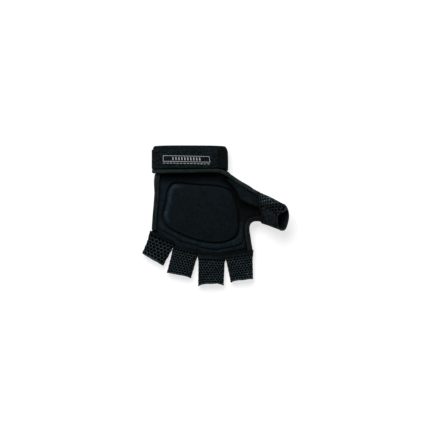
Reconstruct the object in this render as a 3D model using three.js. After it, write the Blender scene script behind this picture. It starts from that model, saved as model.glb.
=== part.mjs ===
// An open-palm field hockey glove for the left hand, lying on its padded back with the palm side up.
// Millimetres. +Z is up, the fingers point along -Y, the thumb along +X and the wrist along +Y.
// A moulded foam shell covers the back of the hand and turns up round its edge as a shallow dish.
// Mesh sleeves hold the thumb and fingers, and a cuff with a closure strap goes round the wrist.
import * as THREE from "three";

// Driving dimensions
const GAP = 0.4; // clearance between two pieces that are sewn together
const FOAM = 8.3; // thickness of the back shell's margin
const RECESS_FLOOR = 5.3; // foam left under the hand pad
const RIM_FOAM = 4.5; // thickness of the shell at its turned-up edge
const PAD_CROWN = 11.6; // top of the hand pad above the table
const PAD_EDGE = 8.9; // height at which the hand pad's top starts to round over
const CREASE_DEPTH = 0.9; // flexing groove moulded across the knuckles
const CREASE_START_Y = -9; // where the groove starts on the hand's sides
const CREASE_FADE = 16; // and the distance along Y over which it deepens
const MESH = 1.8; // thickness of the knitted sleeves
const CUFF = 3.0; // thickness of the wrist cuff
const STRAP = 2.2; // thickness of the closure strap
const STRAP_WIDTH = 22.8;
const STRAP_SEAT = 0.7; // clearance between strap and cuff
const STRAP_BEVEL = 0.7; // by which the strap's outer face is narrower along each edge
const STRAP_LOW_EDGE = 56.7; // Y of the strap's edge nearest the palm
const STRAP_SLOPE = 0.01; // rise of that edge along X
const STRAP_END_X = 2.7; // where the outer face of the strap's free end lies on the palm side
const STRAP_END = [2.4, 0.6]; // by which each edge draws in at the last rings, for rounded corners
const STRAP_START_TURN = 0.86; // where it starts under the cuff, in half turns from the thumb side
const PANEL = 3.0; // thickness of the thumb panel
const PANEL_SLACK = 0.25; // how much flatter than a quarter circle its arch is
const BINDING_WIDTH = 4.4;
const BINDING_HEIGHT = 4.6;

// Powers of the superellipses that the sleeves' and the cuff's sections follow
const FINGER_POWER = 2.5;
const THUMB_POWER = 2.6;
const CUFF_POWER = 2.6;

// Where the rays that join the hand pad's outline to the shell's rim start
const PALM_CENTRE = new THREE.Vector2(-20, 5);

const RIM_STEPS = 3; // points on the rim for each row of its table
const PAD_POINTS = 64;
const SECTION_POINTS = 26;
const STRAP_STEPS = 30;
const PANEL_STEPS = 7;
const BAND_SIDES = 8;

// Rim of the back shell seen from above, clockwise; lift is the height of its top edge
const RIM = [
  { x: -72.3, y: 49.4, lift: 10.5 },
  { x: -60.0, y: 49.9, lift: 8.0 },
  { x: -30.0, y: 50.2, lift: 8.0 },
  { x: 0.0, y: 50.8, lift: 8.5 },
  { x: 12.6, y: 51.6, lift: 16.5 },
  { x: 27.7, y: 42.7, lift: 16.0 },
  { x: 47.6, y: 28.0, lift: 15.0 },
  { x: 51.4, y: 10.0, lift: 13.0 },
  { x: 52.8, y: -5.6, lift: 13.5 },
  { x: 44.0, y: -7.4, lift: 13.0 },
  { x: 39.7, y: -14.0, lift: 12.0 },
  { x: 40.4, y: -27.0, lift: 10.0 },
  { x: 42.6, y: -38.0, lift: 7.0 },
  { x: 43.2, y: -41.3, lift: 6.0 },
  { x: 41.0, y: -42.2, lift: 5.4 },
  { x: 28.0, y: -44.8, lift: 5.4 },
  { x: 14.0, y: -46.3, lift: 5.4 },
  { x: 11.2, y: -46.6, lift: 5.4 },
  { x: 9.0, y: -48.7, lift: 5.4 },
  { x: -5.0, y: -48.2, lift: 5.4 },
  { x: -18.4, y: -45.3, lift: 5.4 },
  { x: -20.6, y: -44.2, lift: 5.4 },
  { x: -21.5, y: -42.3, lift: 5.4 },
  { x: -23.8, y: -42.1, lift: 5.4 },
  { x: -36.0, y: -39.9, lift: 5.4 },
  { x: -48.0, y: -37.5, lift: 5.4 },
  { x: -50.0, y: -36.3, lift: 5.4 },
  { x: -50.7, y: -32.7, lift: 5.4 },
  { x: -52.8, y: -31.2, lift: 5.4 },
  { x: -64.0, y: -26.0, lift: 5.6 },
  { x: -74.4, y: -20.2, lift: 7.2 },
  { x: -76.6, y: -16.4, lift: 9.6 },
  { x: -75.6, y: 0.0, lift: 11.0 },
  { x: -73.9, y: 21.0, lift: 11.5 },
];

// Outline of the hand pad, clockwise
const PAD = [
  { x: -51.6, y: 38.9 },
  { x: -21.3, y: 37.6 },
  { x: 5.9, y: 35.4 },
  { x: 19.5, y: 28.0 },
  { x: 25.8, y: 9.0 },
  { x: 26.4, y: -15.0 },
  { x: 21.5, y: -28.6 },
  { x: 8.0, y: -32.9 },
  { x: -14.0, y: -32.2 },
  { x: -38.0, y: -24.9 },
  { x: -59.4, y: -12.6 },
  { x: -64.4, y: -1.0 },
  { x: -60.9, y: 15.8 },
  { x: -57.4, y: 32.5 },
];

// The shell's margin from the groove round the pad, at share 0, to the rim, at share 1
const MARGIN = [
  { share: 0.1, dip: 0 },
  { share: 0.38, dip: 0 },
  { share: 0.46, dip: CREASE_DEPTH },
  { share: 0.54, dip: 0 },
  { share: 0.72, dip: 0 },
  { share: 0.88, dip: 0 },
  { share: 1, dip: 0 },
];
const MARGIN_RISE = 1.7; // power of the share by which the margin's height goes from FOAM to the rim's
const FOAM_TAPER = 1.2; // power of the share by which the foam thins to RIM_FOAM
const UNDERSIDE_SHARES = [1, 0.85, 0.65, 0.3];
const GROOVE_FLARE = 1.012; // by which the recess is wider at its top
const GROOVE_TOP = 0.8; // how far below the margin the recess's straight wall ends
const HUB_SHARE = 0.04; // size of the innermost ring of the shell and the pad

// The hand pad's rounded edge from its floor up: distance inside the outline, and height
const PAD_FLOOR = RECESS_FLOOR + GAP;
const PAD_SIDES = [
  { inset: 1.3, z: PAD_FLOOR },
  { inset: 0.7, z: PAD_FLOOR + 0.8 },
  { inset: 0.7, z: PAD_EDGE - 0.9 },
  { inset: 1.9, z: PAD_EDGE + 0.4 },
  { inset: 5.2, z: PAD_EDGE + 1.3 },
];
// Its crown, as shares of the outline's size
const PAD_TOP = [
  { share: 0.66, z: PAD_CROWN - 0.5 },
  { share: 0.3, z: PAD_CROWN },
  { share: HUB_SHARE, z: PAD_CROWN },
];

// Sleeves. A section spans from one side edge to the other, seen from above. base is its lowest point and
// depth its height, lean moves its palm side along X or Y, and bow moves its middle out of the sleeve's end.
const FINGER_SLEEVES = {
  little_finger_sleeve: [
    { fromX: -78.0, fromY: -18.8, toX: -51.2, toY: -32.8, base: 0.4, depth: 14.0, leanY: 2.4, bow: 0.8 },
    { fromX: -81.2, fromY: -28.4, toX: -51.7, toY: -40.0, base: 0.4, depth: 14.5, leanY: 0, bow: 0 },
    { fromX: -88.5, fromY: -45.4, toX: -62.6, toY: -59.7, base: 0.4, depth: 12.5, leanY: 0, bow: -0.6 },
  ],
  ring_finger_sleeve: [
    { fromX: -50.5, fromY: -37.6, toX: -21.3, toY: -43.2, base: 0.4, depth: 14.0, leanY: 2.4, bow: 0 },
    { fromX: -51.1, fromY: -41.6, toX: -21.7, toY: -49.4, base: 0.4, depth: 14.5, leanY: 0, bow: 0 },
    { fromX: -58.8, fromY: -69.4, toX: -28.7, toY: -75.7, base: 0.4, depth: 12.5, leanY: 0, bow: -1.2 },
  ],
  middle_finger_sleeve: [
    { fromX: -20.6, fromY: -45.6, toX: 10.5, toY: -49.2, base: 0.4, depth: 14.5, leanY: 2.4, bow: 1.6 },
    { fromX: -21.0, fromY: -51.0, toX: 10.9, toY: -53.0, base: 0.4, depth: 15.0, leanY: 0, bow: 0 },
    { fromX: -21.2, fromY: -84.5, toX: 10.3, toY: -84.1, base: 0.4, depth: 13.0, leanY: 0, bow: -2.2 },
  ],
  index_finger_sleeve: [
    { fromX: 11.3, fromY: -46.9, toX: 44.9, toY: -41.9, base: 0.4, depth: 14.5, leanY: 2.4, bow: 1.0 },
    { fromX: 11.6, fromY: -52.0, toX: 44.5, toY: -47.0, base: 0.4, depth: 14.5, leanY: 0, bow: 0 },
    { fromX: 18.2, fromY: -80.4, toX: 45.0, toY: -76.6, base: 0.4, depth: 12.5, leanY: 0, bow: -0.8 },
  ],
};
const THUMB_SLEEVE = [
  { fromX: 55.0, fromY: -8.5, toX: 49.7, toY: 28.3, base: 9.0, depth: 17.5, leanX: 0, bow: 0 },
  { fromX: 79.5, fromY: -18.4, toX: 82.1, toY: 14.2, base: 24.0, depth: 13.5, leanX: -13.6, bow: 0 },
];
const CUFF_SECTIONS = [
  { fromX: 14.4, fromY: 55.2, toX: -74.3, toY: 53.0, base: 0, depth: 24.0, leanY: 4.8, bow: 0 },
  { fromX: 14.5, fromY: 65.5, toX: -73.9, toY: 64.5, base: 0, depth: 24.5, leanY: 1.0, bow: 0 },
  { fromX: 14.3, fromY: 76.8, toX: -73.9, toY: 76.8, base: 0, depth: 24.5, leanY: 0, bow: 0 },
  { fromX: 14.3, fromY: 79.4, toX: -73.9, toY: 79.4, base: 0, depth: 24.5, leanY: 0, bow: 0 },
  { fromX: 13.9, fromY: 81.0, toX: -75.1, toY: 80.9, base: 0, depth: 24.6, leanY: 0, bow: 0.6 },
  { fromX: 12.4, fromY: 82.4, toX: -74.0, toY: 82.8, base: 0, depth: 24.6, leanY: 0, bow: 1.4 },
];

// The thumb panel arches from the binding on the thumb's outer edge to its own free edge over the palm
const THUMB_PANEL = [
  { outerX: 16.6, outerY: 43.9, outerZ: 19.0, freeX: 14.2, freeY: 42.0, freeZ: 20.4 },
  { outerX: 24.2, outerY: 38.6, outerZ: 19.2, freeX: 20.0, freeY: 36.2, freeZ: 22.0 },
  { outerX: 31.0, outerY: 33.9, outerZ: 19.2, freeX: 25.6, freeY: 29.6, freeZ: 23.2 },
  { outerX: 37.0, outerY: 29.7, outerZ: 19.2, freeX: 29.8, freeY: 20.6, freeZ: 24.2 },
  { outerX: 42.0, outerY: 26.2, outerZ: 19.2, freeX: 39.0, freeY: 15.2, freeZ: 25.2 },
  { outerX: 46.6, outerY: 23.0, outerZ: 19.4, freeX: 50.0, freeY: 11.4, freeZ: 26.2 },
];

// Paths of the bindings' centre lines
const SIDE_BINDING = [
  { x: -69.9, y: 47.8, z: 13.6 },
  { x: -71.5, y: 21.0, z: 14.3 },
  { x: -73.3, y: 0.0, z: 13.8 },
  { x: -74.3, y: -15.8, z: 12.4 },
];
const CROTCH_BINDING = [
  { x: 52.0, y: -3.6, z: 16.6 },
  { x: 45.4, y: -4.3, z: 16.0 },
  { x: 40.6, y: -7.6, z: 15.4 },
  { x: 38.3, y: -14.0, z: 14.6 },
  { x: 39.2, y: -27.0, z: 13.0 },
  { x: 41.0, y: -39.4, z: 11.4 },
];
const CUFF_BINDING = [
  { x: -74.9, y: 50.5, z: 14.2 },
  { x: -72.4, y: 51.2, z: 17.4 },
  { x: -66.0, y: 52.3, z: 20.6 },
  { x: -52.0, y: 52.8, z: 22.2 },
  { x: -30.0, y: 53.2, z: 22.6 },
  { x: -8.0, y: 53.7, z: 22.2 },
  { x: 4.6, y: 53.4, z: 21.4 },
  { x: 12.0, y: 50.2, z: 20.4 },
  { x: 26.0, y: 40.9, z: 19.4 },
  { x: 46.4, y: 26.4, z: 18.3 },
];

// A closed mesh from rings of points. With looped the last ring joins the first; otherwise each end ring
// is closed by a fan to its own middle.
function loft(rings, looped = false) {
  const perRing = rings[0].length;
  const positions = rings.flat().flatMap((p) => [p.x, p.y, p.z]);
  const faces = [];
  const bands = looped ? rings.length : rings.length - 1;
  for (let i = 0; i < bands; i++) {
    const a = i * perRing;
    const b = ((i + 1) % rings.length) * perRing;
    for (let j = 0; j < perRing; j++) {
      const k = (j + 1) % perRing;
      faces.push(a + j, a + k, b + j, a + k, b + k, b + j);
    }
  }
  if (!looped) {
    for (const [ring, flip] of [[0, true], [rings.length - 1, false]]) {
      const middle = new THREE.Vector3();
      for (const p of rings[ring]) middle.addScaledVector(p, 1 / perRing);
      const hub = positions.length / 3;
      positions.push(middle.x, middle.y, middle.z);
      for (let j = 0; j < perRing; j++) {
        const first = ring * perRing + j;
        const second = ring * perRing + ((j + 1) % perRing);
        faces.push(...(flip ? [hub, second, first] : [hub, first, second]));
      }
    }
  }
  const geometry = new THREE.BufferGeometry();
  geometry.setAttribute("position", new THREE.Float32BufferAttribute(positions, 3));
  geometry.setIndex(signedVolume(positions, faces) < 0 ? faces.reverse() : faces);
  return geometry;
}

function signedVolume(positions, faces) {
  const point = (i) => new THREE.Vector3().fromArray(positions, 3 * i);
  let volume = 0;
  for (let i = 0; i < faces.length; i += 3) {
    const cross = point(faces[i + 1]).cross(point(faces[i + 2]));
    volume += point(faces[i]).dot(cross) / 6;
  }
  return volume;
}

function closedCurve(rows, height) {
  return new THREE.CatmullRomCurve3(
    rows.map((row) => new THREE.Vector3(row.x, row.y, height(row))),
    true,
    "centripetal",
  );
}

// The point where the ray from the palm's centre towards target meets a closed outline
function alongRay(outline, target) {
  const aim = new THREE.Vector2(target.x, target.y).sub(PALM_CENTRE);
  for (let i = 0; i < outline.length; i++) {
    const a = new THREE.Vector2(outline[i].x, outline[i].y).sub(PALM_CENTRE);
    const next = outline[(i + 1) % outline.length];
    const b = new THREE.Vector2(next.x, next.y).sub(PALM_CENTRE);
    const fromA = aim.cross(a);
    const fromB = aim.cross(b);
    if (fromA * fromB <= 0 && fromA !== fromB && aim.dot(a) > 0) {
      const hit = a.lerp(b, fromA / (fromA - fromB)).add(PALM_CENTRE);
      return new THREE.Vector3(hit.x, hit.y, 0);
    }
  }
  throw new Error("no outline point lies that way");
}

const rimOutline = closedCurve(RIM, (row) => row.lift).getPoints(RIM_STEPS * RIM.length).slice(0, -1);
const padOutline = closedCurve(PAD, () => 0).getSpacedPoints(4 * PAD_POINTS).slice(0, -1);

function towardsCentre(point, share, z) {
  return new THREE.Vector3(
    PALM_CENTRE.x + (point.x - PALM_CENTRE.x) * share,
    PALM_CENTRE.y + (point.y - PALM_CENTRE.y) * share,
    z,
  );
}

// 1 where the rim point lies towards the fingers, fading to 0 at the hand's sides
function knuckleShare(point) {
  return THREE.MathUtils.smoothstep(CREASE_START_Y - point.y, 0, CREASE_FADE);
}

// The dish: a recessed floor for the hand pad, then a margin that rises to the rim
function backShell() {
  const padAtRim = rimOutline.map((rim) => alongRay(padOutline, rim));
  const margin = ({ share, dip }) =>
    rimOutline.map((rim, i) => {
      const p = new THREE.Vector3().lerpVectors(padAtRim[i], rim, share);
      p.z = FOAM + (rim.z - FOAM) * share ** MARGIN_RISE - dip * knuckleShare(rim);
      return p;
    });
  // The underside lies flat on the table except where the rim is lifted
  const underside = (share) =>
    margin({ share, dip: 0 }).map((p, i) => {
      const foam = FOAM + (RIM_FOAM - FOAM) * share ** FOAM_TAPER;
      const lifted = share > UNDERSIDE_SHARES.at(-1) && rimOutline[i].z > FOAM;
      return new THREE.Vector3(p.x, p.y, lifted ? Math.max(0, p.z - foam) : 0);
    });
  const recess = (share, z) => padAtRim.map((p) => towardsCentre(p, share, z));
  return loft([
    recess(HUB_SHARE, RECESS_FLOOR),
    recess(1, RECESS_FLOOR),
    recess(GROOVE_FLARE, FOAM - GROOVE_TOP),
    ...MARGIN.map(margin),
    ...UNDERSIDE_SHARES.map(underside),
    recess(HUB_SHARE, 0),
  ]);
}

// The cushion that fills the shell's recess and stands a little proud of it
function handPad() {
  const outline = closedCurve(PAD, () => 0).getSpacedPoints(PAD_POINTS).slice(0, -1);
  const side = ({ inset, z }) =>
    outline.map((p) => {
      const reach = Math.hypot(p.x - PALM_CENTRE.x, p.y - PALM_CENTRE.y);
      return towardsCentre(p, 1 - inset / reach, z);
    });
  const top = ({ share, z }) => outline.map((p) => towardsCentre(p, share, z));
  return loft([top({ share: HUB_SHARE, z: PAD_FLOOR }), ...PAD_SIDES.map(side), ...PAD_TOP.map(top)]);
}

// A point of the superellipse whose half width and half height are 1
function superellipse(turn, power) {
  const bend = (value) => Math.sign(value) * Math.abs(value) ** (2 / power);
  return { c: bend(Math.cos(turn)), s: bend(Math.sin(turn)) };
}

// One ring of a flattened sleeve, inset from its outer surface
function sectionRing(row, inset, power) {
  const middle = new THREE.Vector2((row.fromX + row.toX) / 2, (row.fromY + row.toY) / 2);
  const span = new THREE.Vector2(row.toX - row.fromX, row.toY - row.fromY);
  const halfWidth = span.length() / 2 - inset;
  const halfDepth = row.depth / 2 - inset;
  const across = span.normalize();
  const ahead = new THREE.Vector2(across.y, -across.x);
  const points = [];
  for (let i = 0; i < SECTION_POINTS; i++) {
    const { c, s } = superellipse((2 * Math.PI * i) / SECTION_POINTS, power);
    const bow = row.bow * (1 - c ** 4);
    points.push(
      new THREE.Vector3(
        middle.x + across.x * halfWidth * c + ahead.x * bow + ((row.leanX ?? 0) / 2) * s,
        middle.y + across.y * halfWidth * c + ahead.y * bow + ((row.leanY ?? 0) / 2) * s,
        row.base + row.depth / 2 + halfDepth * s,
      ),
    );
  }
  return points;
}

// Rows between the given ones, on a smooth curve through each column
function refine(rows, steps) {
  const names = Object.keys(rows[0]);
  const fine = [];
  for (let i = 0; i < rows.length - 1; i++) {
    for (let k = 0; k < steps; k++) {
      const row = {};
      for (const name of names) {
        const before = rows[Math.max(0, i - 1)][name];
        const after = rows[Math.min(rows.length - 1, i + 2)][name];
        row[name] = catmull(before, rows[i][name], rows[i + 1][name], after, k / steps);
      }
      fine.push(row);
    }
  }
  fine.push(rows.at(-1));
  return fine;
}

function catmull(p0, p1, p2, p3, t) {
  const slope1 = (p2 - p0) / 2;
  const slope2 = (p3 - p1) / 2;
  const t2 = t * t;
  const t3 = t2 * t;
  return (
    (2 * t3 - 3 * t2 + 1) * p1 + (t3 - 2 * t2 + t) * slope1 + (3 * t2 - 2 * t3) * p2 + (t3 - t2) * slope2
  );
}

// An open-ended sleeve of even wall thickness
function sleeve(rows, wall, power, steps) {
  const fine = refine(rows, steps);
  const outside = fine.map((row) => sectionRing(row, 0, power));
  const inside = fine.map((row) => sectionRing(row, wall, power)).reverse();
  return loft([...outside, ...inside], true);
}

// A binding's rounded band along a path
function band(path, steps) {
  const curve = new THREE.CatmullRomCurve3(
    path.map((p) => new THREE.Vector3(p.x, p.y, p.z)),
    false,
    "centripetal",
  );
  const up = new THREE.Vector3(0, 0, 1);
  const rings = [];
  for (let i = 0; i <= steps; i++) {
    const centre = curve.getPointAt(i / steps);
    const side = curve.getTangentAt(i / steps).cross(up).normalize();
    const ring = [];
    for (let j = 0; j < BAND_SIDES; j++) {
      const turn = (2 * Math.PI * (j + 0.5)) / BAND_SIDES;
      ring.push(
        centre
          .clone()
          .addScaledVector(side, (BINDING_WIDTH / 2) * Math.cos(turn))
          .addScaledVector(up, (BINDING_HEIGHT / 2) * Math.sin(turn)),
      );
    }
    rings.push(ring);
  }
  return loft(rings);
}

// The closure strap starts under the cuff, rounds its little-finger side and ends on the palm side
function wristStrap() {
  const seat = CUFF_SECTIONS[1];
  const middleX = (seat.fromX + seat.toX) / 2;
  const halfWidth = (seat.fromX - seat.toX) / 2;
  const halfDepth = seat.depth / 2;
  const startTurn = (2 - STRAP_START_TURN) * Math.PI;
  const endShare = (STRAP_END_X - middleX) / (halfWidth + STRAP_SEAT + STRAP);
  const endTurn = Math.acos(endShare ** (CUFF_POWER / 2));
  const rings = [];
  for (let i = 0; i <= STRAP_STEPS; i++) {
    const { c, s } = superellipse(THREE.MathUtils.lerp(startTurn, endTurn, i / STRAP_STEPS), CUFF_POWER);
    const reach = (offset) => ({
      x: middleX + (halfWidth + offset) * c,
      z: seat.base + halfDepth + (halfDepth + offset) * s,
    });
    const inner = reach(STRAP_SEAT);
    const outer = reach(STRAP_SEAT + STRAP);
    const narrowing = STRAP_END[STRAP_STEPS - i] ?? 0;
    const start = STRAP_LOW_EDGE + STRAP_SLOPE * (outer.x - seat.toX);
    const low = start + narrowing;
    const high = start + STRAP_WIDTH - narrowing;
    rings.push([
      new THREE.Vector3(inner.x, low, inner.z),
      new THREE.Vector3(outer.x, low + STRAP_BEVEL, outer.z),
      new THREE.Vector3(outer.x, high - STRAP_BEVEL, outer.z),
      new THREE.Vector3(inner.x, high, inner.z),
    ]);
  }
  return loft(rings);
}

// A quarter arch over the thumb's root, thickened downwards
function thumbPanel() {
  const rows = refine(THUMB_PANEL, 3);
  const rings = rows.map((row) => {
    const top = [];
    const under = [];
    for (let i = 0; i <= PANEL_STEPS; i++) {
      const turn = (Math.PI / 2) * (i / PANEL_STEPS);
      const share = 1 - Math.cos(turn) * (1 - PANEL_SLACK * Math.sin(turn));
      const x = THREE.MathUtils.lerp(row.outerX, row.freeX, share);
      const y = THREE.MathUtils.lerp(row.outerY, row.freeY, share);
      const z = THREE.MathUtils.lerp(row.outerZ, row.freeZ, Math.sin(turn));
      top.push(new THREE.Vector3(x, y, z));
      under.push(new THREE.Vector3(x, y, z - PANEL));
    }
    return [...top, ...under.reverse()];
  });
  return loft(rings);
}

// Materials
const MATERIALS = {
  lining: { color: 0x15191c, roughness: 0.7, metalness: 0 },
  mesh: { color: 0x14181b, roughness: 0.85, metalness: 0 },
  neoprene: { color: 0x101315, roughness: 0.8, metalness: 0 },
  binding: { color: 0x191d1e, roughness: 0.75, metalness: 0 },
};

const glove = new THREE.Group();

function addPiece(name, geometry, finish) {
  geometry.computeVertexNormals();
  const mesh = new THREE.Mesh(geometry, new THREE.MeshStandardMaterial(MATERIALS[finish]));
  mesh.name = name;
  glove.add(mesh);
}

addPiece("back_shell", backShell(), "lining");
addPiece("hand_pad", handPad(), "lining");
addPiece("thumb_panel", thumbPanel(), "lining");
for (const [name, rows] of Object.entries(FINGER_SLEEVES)) {
  addPiece(name, sleeve(rows, MESH, FINGER_POWER, 3), "mesh");
}
addPiece("thumb_sleeve", sleeve(THUMB_SLEEVE, MESH, THUMB_POWER, 1), "mesh");
addPiece("wrist_cuff", sleeve(CUFF_SECTIONS, CUFF, CUFF_POWER, 2), "neoprene");
addPiece("wrist_strap", wristStrap(), "neoprene");
addPiece("side_binding", band(SIDE_BINDING, 14), "binding");
addPiece("crotch_binding", band(CROTCH_BINDING, 18), "binding");
addPiece("cuff_binding", band(CUFF_BINDING, 40), "binding");

// The origin is the middle of the glove's bounding box, on the table
const box = new THREE.Box3().setFromObject(glove);
glove.position.set(-(box.min.x + box.max.x) / 2, -(box.min.y + box.max.y) / 2, -box.min.z);

export default glove;
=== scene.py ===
"""An open-palm field hockey glove for the left hand, lying on its padded back.

Each sub-assembly of the glove is a class that holds its sizes in millimetres, builds its meshes in the
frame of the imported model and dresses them. Repeats, such as stitches and the holes of the knitted mesh,
and bindings that follow a path are made by Geometry Nodes and kept as plain meshes.
"""

import logging
import math
from collections.abc import Sequence
from dataclasses import astuple, dataclass, field, replace
from enum import Enum
from typing import Any

import bmesh
import bpy
import numpy as np
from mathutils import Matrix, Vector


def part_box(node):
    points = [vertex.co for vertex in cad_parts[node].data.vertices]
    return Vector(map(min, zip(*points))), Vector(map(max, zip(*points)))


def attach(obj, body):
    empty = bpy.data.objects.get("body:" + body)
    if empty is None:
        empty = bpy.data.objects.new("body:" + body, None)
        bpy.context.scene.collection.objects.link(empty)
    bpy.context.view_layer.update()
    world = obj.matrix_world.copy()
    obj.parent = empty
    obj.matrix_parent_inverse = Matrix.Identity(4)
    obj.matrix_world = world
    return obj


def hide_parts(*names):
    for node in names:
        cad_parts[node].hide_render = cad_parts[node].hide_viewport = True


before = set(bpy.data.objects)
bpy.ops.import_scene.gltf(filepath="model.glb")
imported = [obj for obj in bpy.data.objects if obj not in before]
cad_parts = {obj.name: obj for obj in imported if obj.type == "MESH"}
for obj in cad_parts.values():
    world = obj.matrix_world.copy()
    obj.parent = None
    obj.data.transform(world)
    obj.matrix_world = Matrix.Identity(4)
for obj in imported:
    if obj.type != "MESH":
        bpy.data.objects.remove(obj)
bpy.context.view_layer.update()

Socket = bpy.types.NodeSocket
Inputs = dict[str | int, Any]
Row = tuple[float, ...]

LOG = logging.getLogger("glove")
MM = 0.001
BODY = "root"

# Thicknesses and heights in millimetres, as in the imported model
FOAM = 8.3
RIM_FOAM = 4.5
PAD_EDGE = 8.9
PAD_CROWN = 11.6
PAD_FLOOR = 5.7
RECESS_FLOOR = 5.3
MESH_WALL = 1.8
CUFF_WALL = 3.0
STRAP = 2.2
STRAP_SEAT = 0.3

# How far stitches lie above the cloth that they sew
SEAM_RISE = 0.1

# Where the rays that join the hand pad's outline to the shell's rim start
PALM_CENTRE = np.array((-20.0, 5.0))


class Slot(Enum):
    """The record's material slots."""

    LINING = "lining"
    MESH = "mesh"
    NEOPRENE = "neoprene"
    BINDING = "binding"


class Space(Enum):
    """What a finish's pattern follows."""

    OBJECT = "Object"
    CLOTH = "UV"


class Weave(Enum):
    """How a cloth's yarns show."""

    JERSEY = "jersey"
    RIB = "rib"
    PLAIN = "plain"


def smooth_path(rows: Sequence[Sequence[float]], steps: int, closed: bool = False) -> np.ndarray:
    """A centripetal Catmull-Rom curve through every row.

    Args:
        rows: the points that the curve passes through.
        steps: points on the curve for each row.
        closed: whether the last row joins the first.

    Returns:
        The points on the curve, without a second copy of the first one when closed.
    """
    points = np.array(rows, float)
    count = len(points)
    if not closed:
        points = np.vstack((2 * points[0] - points[1], points, 2 * points[-1] - points[-2]))
    found = []
    for i in range(count if closed else count - 1):
        if closed:
            p0, p1, p2, p3 = (points[(i + k) % count] for k in (-1, 0, 1, 2))
        else:
            p0, p1, p2, p3 = points[i : i + 4]
        gaps = (np.linalg.norm(b - a) for a, b in ((p0, p1), (p1, p2), (p2, p3)))
        d0, d1, d2 = (max(math.sqrt(gap), 1e-4) for gap in gaps)
        start = ((p1 - p0) / d0 - (p2 - p0) / (d0 + d1) + (p2 - p1) / d1) * d1
        end = ((p2 - p1) / d1 - (p3 - p1) / (d1 + d2) + (p3 - p2) / d2) * d1
        square = 3 * (p2 - p1) - 2 * start - end
        cube = 2 * (p1 - p2) + start + end
        found += [p1 + start * t + square * t**2 + cube * t**3 for t in np.arange(steps) / steps]
    if not closed:
        found.append(points[-2])
    return np.array(found)


def spaced(points: np.ndarray, count: int, closed: bool = False) -> np.ndarray:
    """Points evenly spaced by length along a polyline.

    Args:
        points: the polyline.
        count: how many points to return.
        closed: whether the last point joins the first.

    Returns:
        The spaced points, as an array of count rows.
    """
    line = closed_line(points) if closed else points
    lengths = walked(line)
    wanted = np.linspace(0.0, lengths[-1], count, endpoint=not closed)
    return np.column_stack([np.interp(wanted, lengths, line[:, k]) for k in range(line.shape[1])])


def closed_line(points: np.ndarray) -> np.ndarray:
    """A line of points that ends where it starts."""
    return np.vstack((points, points[:1]))


def walked(points: np.ndarray) -> np.ndarray:
    """The distance along a line at each of its points."""
    return np.concatenate(([0.0], np.cumsum(np.linalg.norm(np.diff(points, axis=0), axis=1))))


def half_round(count: int) -> list[tuple[float, float]]:
    """Steps round a folded edge: a lean that falls from 1 to 0 and a swing that rises to 1 and falls back."""
    return [((1 + math.cos(turn)) / 2, math.sin(turn)) for turn in np.linspace(0.0, np.pi, count)]


def smoothstep(low: float, high: float, value: Any) -> Any:
    """0 up to low and 1 from high on, with a smooth rise between them."""
    share = np.clip((np.asarray(value) - low) / (high - low), 0.0, 1.0)
    return share * share * (3 - 2 * share)


def bell(value: Any, centre: float, width: float) -> Any:
    """A smooth hump of height 1 at centre."""
    return np.exp(-(((np.asarray(value) - centre) / width) ** 2))


def ripple(x: Any, y: Any, length: float, seed: float) -> Any:
    """A smooth, uneven wave from -1 to 1 over the plane, with crests about length apart.

    Args:
        x: places across.
        y: places along.
        length: distance between crests.
        seed: where the wave starts.

    Returns:
        The wave at each place.
    """
    a = np.sin(2 * np.pi * (0.83 * x + 0.55 * y) / length + seed)
    b = np.sin(2 * np.pi * (-0.47 * x + 0.91 * y) / (1.37 * length) + 2.1 * seed + 0.8 * a)
    c = np.sin(2 * np.pi * (0.21 * x - 0.98 * y) / (0.71 * length) + 3.7 * seed + 0.6 * b)
    return (a + b + c) / 3


def put(name: str, data: bpy.types.ID) -> bpy.types.Object:
    """A new object with this data, linked to the scene.

    Args:
        name: the new object's name.
        data: the mesh, light or camera that it holds.

    Returns:
        The object.
    """
    piece = bpy.data.objects.new(name, data)
    bpy.context.scene.collection.objects.link(piece)
    return piece


def baked(piece: bpy.types.Object) -> bpy.types.Mesh:
    """A new mesh of a piece with its modifiers applied.

    Args:
        piece: the piece.

    Returns:
        The mesh.
    """
    bpy.context.view_layer.update()
    shown = piece.evaluated_get(bpy.context.evaluated_depsgraph_get())
    return bpy.data.meshes.new_from_object(shown)


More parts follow.
